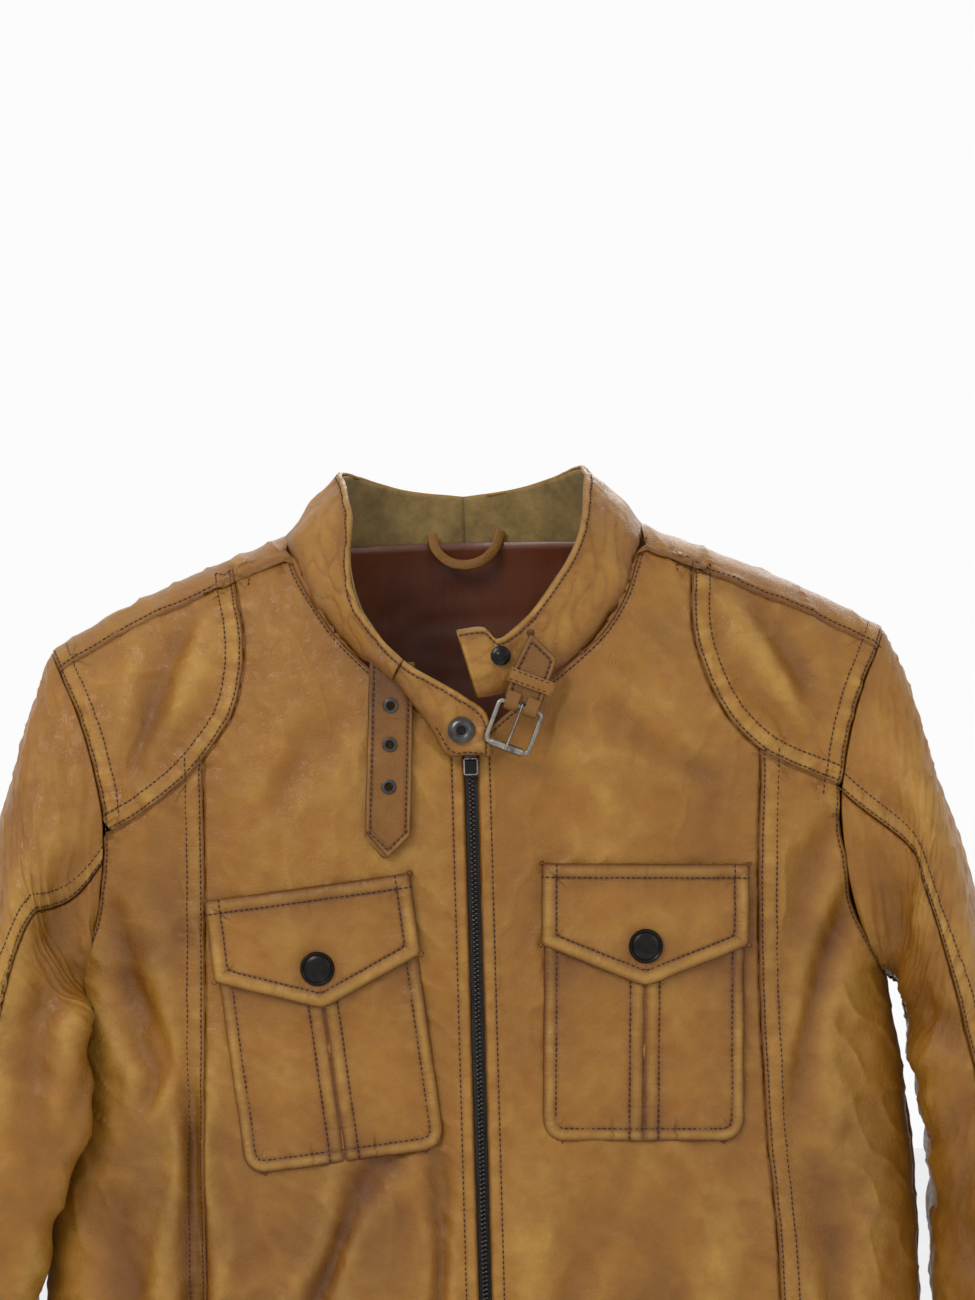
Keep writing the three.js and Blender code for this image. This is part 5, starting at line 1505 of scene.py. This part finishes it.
RING = [(2.4, -0.4), (2.5, 0.7), (3.1, 0.8), (3.3, 1.5), (4.0, 1.9), (4.8, 1.7), (5.4, 1.2), (6.2, 1.25),
        (6.7, 0.8), (6.7, 0.1),
        (6.0, -0.3), (2.4, -0.4)]
SOCKET_AT = (-4.2, -72.2, 13.4)
spun("collar_snap_socket", RING, SOCKET_AT, (0, -1, 0.05), GUNMETAL, "shell", ["collar_snap_socket"],
     56)
spun("collar_socket_well", [(0, -0.3), (2.3, -0.2), (2.6, -0.5), (0, -0.6)], SOCKET_AT, (0, -1, 0.05),
     BLACKED, "shell", [])
spun("collar_snap_stud", [(0, 2.6), (1.8, 2.5), (2.4, 2.1), (2.5, 1.5), (4.4, 1.2), (5.0, 0.7), (5.0, 0.1),
                          (0, 0)], (16.5, -67.9, 50),
     (0, -1, 0.05), BLACKED, "shell", ["collar_snap_stud"], 48)

# %% [markdown]
# ## The throat strap
# A flat strap with a pointed tip and a row of stitches inside its edge. Faces are taken out where the
# eyelets sit. Its tail bends where the CAD body `tail` begins, so one mesh is blended over two bodies.

# %% Strap with eyelets, wearer's right
STRAP_HALF = 11.5
STRAP_FACE = -67.0
EYELETS = [(-39.1, 26.5), (-40.0, 7.2), (-41.1, -13.8)]


def strap_middle(z):
    return -40.4 + 0.05 * z


def strap_face(z):
    """The strap hangs a little away from the chest towards its tip."""
    hang = np.sin(np.clip((20 - z) / 70, 0, 1) * math.pi)
    return STRAP_FACE + 4.2 * np.clip((z - 20) / 28, 0, 1) - 1.2 * hang


def strap_part(name, z_top, z_low, tip):
    vs = np.unique(np.concatenate([packed(z_top - z_low, 0.9),
                                   np.linspace(0, 1, int((z_top - z_low) / 0.9))]))
    us = packed(23, 0.9)
    z_edge = z_top + (z_low - z_top) * vs
    pointed = np.where(tip, 11 * np.clip(1 - np.abs(us * 2 - 1), 0, 1) ** 0.95, 0)
    z = z_edge[None] - pointed[:, None] * (vs ** 5)[None]
    x = strap_middle(z) + (us[:, None] * 2 - 1) * STRAP_HALF
    y = strap_face(z) - 0.5 * np.cos((us[:, None] - 0.5) * math.pi) - 0.5 * waves(x, z, 16, 44)
    points = np.stack([x, y, z], -1)
    side = STRAP_HALF - np.abs(us * 2 - 1)[:, None] * STRAP_HALF + 0 * z
    edge = side
    if tip:
        gap, _ = nearest(x, z, np.array([(-53.2, -36), (-42.6, -49.4), (-30.4, -38)]))
        edge = np.minimum(side, np.abs(gap))
    height = rolled(edge, 1.3) - 0.3 * hump(edge - 2.7, 0.6) + 0.16 * gathers(z, 5) * hump(edge - 2.7, 3)
    # painted shadow on the strap's upper part, where it runs under the collar, beside dye at its edges
    burn = np.clip(0.6 * hump(edge, 1.0) + 0.45 * hump(edge - 2.7, 0.8) + 0.15
                   + 0.8 * np.clip((z - 4) / 34, 0, 1), 0, 1)
    rub_and_highlight_amount = np.clip(0.55 * hump(edge - 1.3, 0.9), 0, 1)
    normal = surface_normals(points, facing_front(points))
    p = points + normal * height[..., None]
    faces = grid_faces(*x.shape)
    middle = p.reshape(-1, 3)[faces].mean(1)
    keep = np.ones(len(faces), bool)
    for ex, ez in EYELETS:
        keep &= np.hypot(middle[:, 0] - ex, middle[:, 2] - ez) > 2.7
    item = new_piece(name, p.reshape(-1, 3), faces[keep], STRAP_TAN, None, {"burn": burn, "raise": rub_and_highlight_amount})
    if item.data.polygons[0].normal.y > 0:
        item.data.flip_normals()
    bm = bmesh.new()
    bm.from_mesh(item.data)
    bmesh.ops.delete(bm, geom=[v for v in bm.verts if not v.link_faces], context="VERTS")
    bm.to_mesh(item.data)
    bm.free()
    thicken(item, 2.2)
    apply_wall(item)
    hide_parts(name)
    declare_sheet(name, points)
    return item


def tail_bend(item):
    start, end = world([(-39.4, -67.2, 25), (-39.4, -67.2, 13)])
    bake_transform(item, "shell", "tail", tuple(start), tuple(end))


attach(strap_part("strap_base_R", 48, 20, False), "shell")
tail_bend(strap_part("strap_tail", 20, -38.5, True))
strap_rows = []
for side in (-1, 1):
    z = np.linspace(46, -36.5, 120)
    strap_rows.append(np.stack([strap_middle(z) + side * (STRAP_HALF - 2.7), strap_face(z) - 0.75, z], 1))
tip_row = edge_at(np.array([(-51.2, -36.5), (-42.5, -45.6), (-33.0, -36.5)]), np.linspace(0, 1, 40))
strap_rows.append(np.stack([tip_row[:, 0], strap_face(tip_row[:, 1]) - 0.75, tip_row[:, 1]], 1))
EYELET = [(1.9, -2.6), (1.9, 0.5), (2.2, 0.9), (2.9, 1.05), (3.6, 0.8), (3.8, 0.3), (3.7, 0), (2.5, -0.2),
          (2.4, -2.6), (1.9, -2.6)]
for count, (x, z) in enumerate(EYELETS):
    at = (x, float(strap_face(z)) - 0.45, z)
    body = "shell" if z > 20 else "tail"
    spun(f"strap_eyelet_{count + 1}", EYELET, at, (0, -1, 0), GUNMETAL, body, [f"strap_eyelet_{count + 1}"],
         40)

# %% [markdown]
# ## The buckle
# The buckle hangs at an angle. Its parts are all placed in its own plane by `at_buckle`: along the bar,
# forwards, and up the strap.

# %% Buckle, prong, roller, keeper and its strap, wearer's left
BUCKLE_TURN = math.radians(22)
BUCKLE_AT = np.array([26, -73, 24.3])
ALONG = np.array([math.cos(BUCKLE_TURN), 0, -math.sin(BUCKLE_TURN)])
UPWARD = np.array([math.sin(BUCKLE_TURN), 0, math.cos(BUCKLE_TURN)])


def at_buckle(points):
    points = np.asarray(points, float)
    return BUCKLE_AT + points[..., :1] * ALONG + points[..., 1:2] * (0, 1, 0) + points[..., 2:3] * UPWARD


def rounded_box(half_x, z0, z1, radius, count=7):
    corners = [(half_x - radius, z1 - radius, 0), (-half_x + radius, z1 - radius, 90),
               (-half_x + radius, z0 + radius, 180),
               (half_x - radius, z0 + radius, 270)]
    return [(cx + radius * math.cos(math.radians(a + t)), 0, cz + radius * math.sin(math.radians(a + t)))
            for cx, cz, a in corners for t in np.linspace(0, 90, count)]


rim = rounded_box(11.2, -21.4, 0, 2.4)
bar_section = [(0.8 * math.copysign(abs(math.cos(t)) ** 0.6, math.cos(t)) * 1.45,
                1.25 * math.copysign(abs(math.sin(t)) ** 0.6, math.sin(t)))
               for t in np.linspace(0, 2 * math.pi, 16, endpoint=False)]
swept("buckle_frame", at_buckle(rim), bar_section, SILVER, "buckle", ["buckle_frame"], True)
roller_profile = [(1.45, -8.6), (1.95, -8.6), (2.1, -8.3), (2.1, 8.3), (1.95, 8.6), (1.45, 8.6), (1.45, -8.6)]
spun("buckle_roller", roller_profile, at_buckle((0, 0, -21.4)), ALONG, SILVER, "roller", ["buckle_roller"],
     32)
prong = [(0.3, 1.2, -1.6), (0.3, 2.0, 0.4), (0.3, 0.6, 2.1), (0.3, -1.2, 1.9), (0.3, -2.1, 0.2),
         (0.3, -2.2, -4), (0.2, -2.5, -12), (0, -2.75, -19),
         (0, -2.7, -22.6)]
swept("buckle_prong", at_buckle(smooth_line(prong, 40)), oval(1.0, 0.7, 12), SILVER, "prong",
      ["buckle_prong"],
      up=tuple(ALONG))
BUCKLE_STRAP = np.array([(-9.6, 2), (9.2, 2), (8.6, 28.6), (-8.6, 36.2), (-10.6, 16)])


def strap_plate(name, outline, face_y, thick, material, body):
    """A leather plate in the buckle's plane, with a rolled edge."""
    left, right = outline[[0, 4, 3]], outline[[1, 2, 3]]
    vs, us = packed(38, 0.9), packed(17, 0.8)
    l, r = edge_at(left, vs), edge_at(right, vs)
    grid = l[None] * (1 - us[:, None, None]) + r[None] * us[:, None, None]
    x, z = grid[..., 0], grid[..., 1]
    edge = np.abs(nearest(x, z, outline[[1, 2, 3, 4, 0]])[0])
    crown = 0.9 * np.sin(np.clip(z / 30, 0, 1) * math.pi)
    points = at_buckle(np.stack([x, face_y - crown + 0.35 * waves(x, z, 14, 51), z], -1))
    away = facing_front(points)
    height = rolled(edge, 1.3) - 0.3 * hump(edge - 2.6, 0.6)
    burn = np.clip(0.5 * hump(edge, 1.0) + 0.5 * hump(edge - 2.6, 0.8) + 0.55, 0, 1)
    rub_and_highlight_amount = np.clip(0.55 * hump(edge - 1.2, 0.9), 0, 1)
    return lay_grid(name, points, away, height, {"burn": burn, "raise": rub_and_highlight_amount}, material, body, thick)


strap_plate("strap_base_L", BUCKLE_STRAP, -1.3, 2.2, STRAP_TAN, "shell")
for half in (-1, 1):
    x0, x1 = sorted((half * 1.9, half * 8.5))
    bend = [(1.5, 3.5), (1.9, 1.2), (1.6, -0.6), (0.6, -1.75), (-0.7, -1.75), (-1.75, -0.7), (-2.0, 0.8),
            (-1.6, 3.2), (-1.5, 6.0)]
    path = smooth_line(bend, 26)
    across, around_bar = np.broadcast_arrays(np.linspace(x0, x1, 9)[:, None], path[None, :, 0])
    points = at_buckle(np.stack([across, around_bar, np.broadcast_to(path[None, :, 1], across.shape)], -1))
    away = points - at_buckle(np.array([(0, 0, 1.0)]))[0]
    marks = {"burn": np.full(points.shape[:2], 0.5), "raise": np.full(points.shape[:2], 0.15)}
    lay_grid(f"buckle_fold_{'R' if half < 0 else 'L'}", points, away, np.full(points.shape[:2], 0.5), marks,
             STRAP_TAN,
             "shell", 1.2, replaces=False)
keeper_path = at_buckle([(x, y, 13.5) for x, y in [(-10.6, 1.6), (-11.0, -0.6), (-10.2, -3.0), (-6, -3.5),
                                                   (0, -3.7), (7, -3.5),
                                                   (11.6, -3.0), (12.4, -0.6), (12.0, 1.6), (6, 2.0),
                                                   (0, 2.0), (-6, 2.0)]])
band = np.vstack([keeper_path, keeper_path[:1]])
loop = smooth_line(band, 70)[:-1]
swept("strap_keeper", loop, [(-0.65, -3.2), (-0.8, -2.6), (-0.8, 2.6), (-0.65, 3.2), (0.45, 3.4),
                             (0.6, 2.9), (0.6, -2.9), (0.45, -3.4)],
      STRAP_TAN, "shell", ["strap_keeper"], True, up=tuple(UPWARD), sharp=60)
even_marks(bpy.data.objects["strap_keeper"], 0.45, 0.2)
for inset in (1.0, 5.8):
    z = 10.1 + inset
    row_lines["shell"].append((at_buckle([(x, -4.25 + 0.006 * x * x,
                                           z) for x in np.linspace(-9.5, 11, 30)]),
                                           np.tile((0, -1.0, 0), (30, 1))))
rim_row = soft_corner([(-7.1, 4), (-7.9, 16), (-6.4, 32.2), (6.0, 26.8), (6.5, 4)], 2)
rim_row = edge_at(rim_row, np.linspace(0, 1, 90))
row_lines["shell"].append((at_buckle([(a, -1.3 - 0.9 * math.sin(min(1, b / 30) * math.pi) - 0.05, b) for a,
                                      b in rim_row]),
                           np.tile((0, -1.0, 0), (90, 1))))

# %% [markdown]
# ## The hanging loop
# A narrow leather strip, swept along a rounded line at the back of the neck.

# %% Hanging loop
loop_line = smooth_line([(-17.5, 40.5, 114), (-15.5, 38.5, 106), (-9, 37.6, 99.5), (0, 37.4, 97.6),
                         (9, 37.6, 100), (15.5, 38.4, 106.5),
                         (18.5, 40.5, 115)], 60)
swept("hang_loop", loop_line, [(-2.6, -0.5), (-2.2, -0.75), (2.2, -0.75), (2.6, -0.5), (2.6, 0.5),
                               (2.2, 0.75), (-2.2, 0.75), (-2.6, 0.5)],
      STRAP_TAN, "loop", ["hang_loop"], up=(0.25, -0.9, 0.2), sharp=60)
even_marks(bpy.data.objects["hang_loop"], 0.3, 0.4)

# %% [markdown]
# ## Zip, teeth and stitches
# Hundreds of small things are placed by Geometry Nodes: a line is cut into equal steps and a tooth or a
# stitch is put on each, turned along the line. The result becomes one plain mesh for each moving body.


# %% Repeating along lines
def repeat_tree(name, material, step, size, lean):
    """Puts a small rounded bar at equal steps along lines that carry an `out` direction."""
    tree = bpy.data.node_groups.new(name, "GeometryNodeTree")
    face = tree.interface
    face.new_socket("Geometry", in_out="INPUT", socket_type="NodeSocketGeometry")
    for label, value in (("Step", step), ("Long", size[0]), ("Wide", size[1]), ("High", size[2]),
                         ("Lean", lean)):
        face.new_socket(label, in_out="INPUT", socket_type="NodeSocketFloat").default_value = value
    face.new_socket("Seed", in_out="INPUT", socket_type="NodeSocketInt").default_value = 7
    face.new_socket("Geometry", in_out="OUTPUT", socket_type="NodeSocketGeometry")
    new = tree.nodes.new
    given, result = new("NodeGroupInput"), new("NodeGroupOutput")
    curve, cut, place = (new("GeometryNode" + kind) for kind in ("MeshToCurve", "ResampleCurve",
                                                                 "InstanceOnPoints"))
    cut.mode = "LENGTH"
    bead, shape = new("GeometryNodeMeshUVSphere"), new("GeometryNodeTransform")
    squeeze = new("ShaderNodeCombineXYZ")
    bead.inputs["Segments"].default_value = 6
    bead.inputs["Rings"].default_value = 4
    bead.inputs["Radius"].default_value = 1
    along, out = new("GeometryNodeInputTangent"), new("GeometryNodeInputNamedAttribute")
    turn = new("FunctionNodeAxesToRotation")
    out.data_type = "FLOAT_VECTOR"
    out.inputs["Name"].default_value = "out"
    turn.primary_axis, turn.secondary_axis = "X", "Z"
    chance, tilt = new("FunctionNodeRandomValue"), new("FunctionNodeEulerToRotation")
    spin = new("FunctionNodeRotateRotation")
    spin.rotation_space = "LOCAL"
    sides, angle = new("ShaderNodeCombineXYZ"), new("ShaderNodeMath")
    angle.operation = "MULTIPLY"
    real, paint = new("GeometryNodeRealizeInstances"), new("GeometryNodeSetMaterial")
    paint.inputs["Material"].default_value = material
    link = tree.links.new
    link(given.outputs["Geometry"], curve.inputs["Mesh"])
    link(curve.outputs["Curve"], cut.inputs["Curve"])
    link(given.outputs["Step"], cut.inputs["Length"])
    link(cut.outputs["Curve"], place.inputs["Points"])
    for axis, label in zip("XYZ", ("Long", "Wide", "High")):
        link(given.outputs[label], squeeze.inputs[axis])
    link(bead.outputs["Mesh"], shape.inputs["Geometry"])
    link(squeeze.outputs["Vector"], shape.inputs["Scale"])
    link(shape.outputs["Geometry"], place.inputs["Instance"])
    link(along.outputs["Tangent"], turn.inputs["Primary Axis"])
    link(out.outputs["Attribute"], turn.inputs["Secondary Axis"])
    chance.data_type = "FLOAT"
    floats = [s for s in chance.inputs if s.type == "VALUE"]
    floats[0].default_value, floats[1].default_value = -1, 1
    link(given.outputs["Seed"], chance.inputs["Seed"])
    link([s for s in chance.outputs if s.type == "VALUE"][0], angle.inputs[0])
    link(given.outputs["Lean"], angle.inputs[1])
    link(angle.outputs[0], sides.inputs["Z"])
    link(sides.outputs["Vector"], tilt.inputs["Euler"])
    link(turn.outputs["Rotation"], spin.inputs["Rotation"])
    link(tilt.outputs["Rotation"], spin.inputs["Rotate By"])
    link(spin.outputs["Rotation"], place.inputs["Rotation"])
    link(place.outputs["Instances"], real.inputs["Geometry"])
    link(real.outputs["Geometry"], paint.inputs["Geometry"])
    link(paint.outputs["Geometry"], result.inputs["Geometry"])
    return tree


def run_tree(name, tree, lines, step, seed):
    """Runs the tree on lines of (points, outward) and returns one plain mesh object."""
    points, edges, outs = [], [], []
    for place, out in lines:
        first = len(points)
        points += world(place).tolist()
        outs += (np.asarray(out) / (np.linalg.norm(out, axis=1, keepdims=True) + 1e-9)).tolist()
        edges += [(i, i + 1) for i in range(first, len(points) - 1)]
    mesh = bpy.data.meshes.new(name + "_lines")
    mesh.from_pydata(points, edges, [])
    mesh.attributes.new("out", "FLOAT_VECTOR", "POINT").data.foreach_set("vector",
                                                                         np.array(outs, np.float32).ravel())
    guide = bpy.data.objects.new(name + "_lines", mesh)
    bpy.context.scene.collection.objects.link(guide)
    run = guide.modifiers.new("repeat", "NODES")
    run.node_group = tree
    names = {s.name: s.identifier for s in tree.interface.items_tree if s.in_out == "INPUT"}
    run[names["Step"]] = step
    run[names["Seed"]] = seed
    bpy.context.view_layer.update()
    made = bpy.data.meshes.new_from_object(guide.evaluated_get(bpy.context.evaluated_depsgraph_get()))
    made.name = name
    bpy.data.objects.remove(guide)
    item = bpy.data.objects.new(name, made)
    bpy.context.scene.collection.objects.link(item)
    for key in [a.name for a in made.attributes if a.name == "out"]:
        made.attributes.remove(made.attributes[key])
    made.polygons.foreach_set("use_smooth", np.ones(len(made.polygons), bool))
    return item


STITCH_STEP = 2.7 * MM
stitch_tree = repeat_tree("stitch", THREAD, STITCH_STEP, (1.15 * MM, 0.4 * MM, 0.36 * MM), 0.16)
tooth_tree = repeat_tree("tooth", GUNMETAL, 2.2 * MM, (0.62 * MM, 1.15 * MM, 0.75 * MM), 0.0)

# %% [markdown]
# ## The zip
# Two tapes carry the teeth, which mesh by standing half a step apart. The slider, its bridge and its pull
# ride on bodies of their own.

# %% Zip: tapes, teeth, box, slider and pull
TEETH_Y = -62.2
ZIP_LOW = HEM + 6
for h, s in SIDES.items():
    vs = np.linspace(0, 1, 170)
    us = np.linspace(0, 1, 8)
    x = s * (0.5 + 14.5 * us[:, None]) + 0 * vs[None]
    z = HEM + 3 + (8 - HEM - 3) * vs[None] + 0 * us[:, None]
    points = np.stack([x, -60.2 + 2.6 * np.clip((np.abs(x) - 3) / 8, 0, 1), z], -1)
    flat = np.zeros(x.shape)
    lay_grid(f"zip_tape_{h}", points, facing_front(points), flat, {"burn": flat, "raise": flat}, TAPE,
             "shell", 0.6)
    z = np.linspace(1.5 - (0.55 if s > 0 else -0.55), ZIP_LOW, 400)
    line = np.stack([np.full(400, s * 0.72), np.full(400, TEETH_Y + 0.2), z], 1)
    teeth = run_tree(f"zip_teeth_{h}", tooth_tree, [(line, np.tile((0, -1.0, 0), (400, 1)))], 2.2 * MM, 3)
    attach(teeth, "shell")
    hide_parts(f"zip_teeth_{h}")
box_shape = rounded_box(2.9, HEM + 2, HEM + 11, 0.8)
swept("zip_box", [(0, -60.9, 0), (0, -61.6, 0), (0, -63.4, 0), (0, -63.8, 0)],
      [(a, b) for a, _, b in box_shape], GUNMETAL, "shell",
      ["zip_box"], up=(0, 0, 1))
slider_outline = [(-3.9, 7.6), (-3.2, 8.0), (-1.0, 8.0), (0, 6.4), (1.0, 8.0), (3.2, 8.0), (3.9, 7.6),
                  (3.7, 3.0), (2.9, -1.6), (-2.9, -1.6),
                  (-3.7, 3.0)]


def slab(name, outline, y_back, y_front, bevel, material, body, nodes):
    """A flat part with a bevelled front edge."""
    outline = np.asarray(outline, float)
    inner = outline - (outline - outline.mean(0)) / np.linalg.norm(outline - outline.mean(0), axis=1,
                                                                   keepdims=True) * bevel
    layers = [(outline, y_back), (outline, y_front + bevel), (inner, y_front)]
    n = len(outline)
    points = [(x, y, z) for ring, y in layers for x, z in ring]
    faces = [list(range(n)), [2 * n + i for i in range(n)][::-1]]
    faces += [[k * n + i, k * n + (i + 1) % n, (k + 1) * n + (i + 1) % n, (k + 1) * n
               + i] for k in range(2) for i in range(n)]
    item = new_piece(name, points, faces, material)
    return finish_solid(item, body, nodes, 30)


slab("zip_slider", slider_outline, -62.9, -64.6, 0.5, GUNMETAL, "slider", ["zip_slider"])
slab("zip_slider_back", slider_outline, -59.9, -60.7, 0.2, GUNMETAL, "slider", [])
bridge = smooth_line([(0, -64.3, 6.2), (0, -66.2, 5.0), (0, -66.9, 1.6), (0, -66.4, -0.9),
                      (0, -64.4, -1.2)], 24)
swept("zip_slider_bridge", bridge, oval(1.0, 0.45, 10), GUNMETAL, "slider", [], up=(1, 0, 0))
pull_rim = [(x, -65.6, z) for x, _, z in rounded_box(3.3, -8.9, -0.9, 0.9)]
swept("zip_pull", pull_rim, oval(0.5, 0.55, 10), SILVER, "pull",
      ["zip_pull"], True)
slab("zip_pull_inlay", [(x, z) for x, _, z in rounded_box(3.0, -8.6, -1.9, 0.6)], -65.2, -66.0, 0.25,
     BLACKED, "pull", [])

# %% [markdown]
# ## Sewing
# Every seam knows its rows. Each row is lifted a hair above the leather and cut into stitches.

# %% Rows of stitches
for side in (-1, 1):
    for line, rows, _, _ in seams[side]:
        count = max(24, int(polyline(line)[1][-1] / 1.5))
        even = edge_at(line, np.linspace(0, 1, count))
        for row in rows:
            path = offset_line(even, row)
            height, _ = skin(path[:, 0], path[:, 1], side)
            inside = (np.abs(path[:, 0]) < half_width(path[:, 1]) - 0.3) & (path[:, 1] < ridge(path[:, 0])
                                                                            - 0.5)
            path, height = path[inside], height[inside]
            place = on_body(path[:, 0], path[:, 1], side, height + 0.14)
            out = on_body(path[:, 0], path[:, 1], side, height + 1.14) - place
            row_lines["shell"].append((place, out))
row_lines["tail"] = [(row, np.tile((0, -1.0, 0), (len(row), 1))) for row in strap_rows]
for body, lines in row_lines.items():
    if not lines:
        continue
    item = run_tree(f"stitches_{body}", stitch_tree, lines, STITCH_STEP, 11)
    if body.startswith("sleeve"):
        sleeve_bend(item, body[-1])
    elif body == "tail":
        tail_bend(item)
    else:
        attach(item, body)
    print(item.name, len(item.data.polygons))

# %% Sizes and finish
faces = {o.name: len(o.data.polygons) for o in bpy.data.objects if o.type == "MESH" and not o.hide_render}
print("faces before thickness:", sum(faces.values()), "largest:",
      sorted(faces.items(), key=lambda v: -v[1])[:4])
for name, cut in cut_list.items():
    print("cut", name, cut)
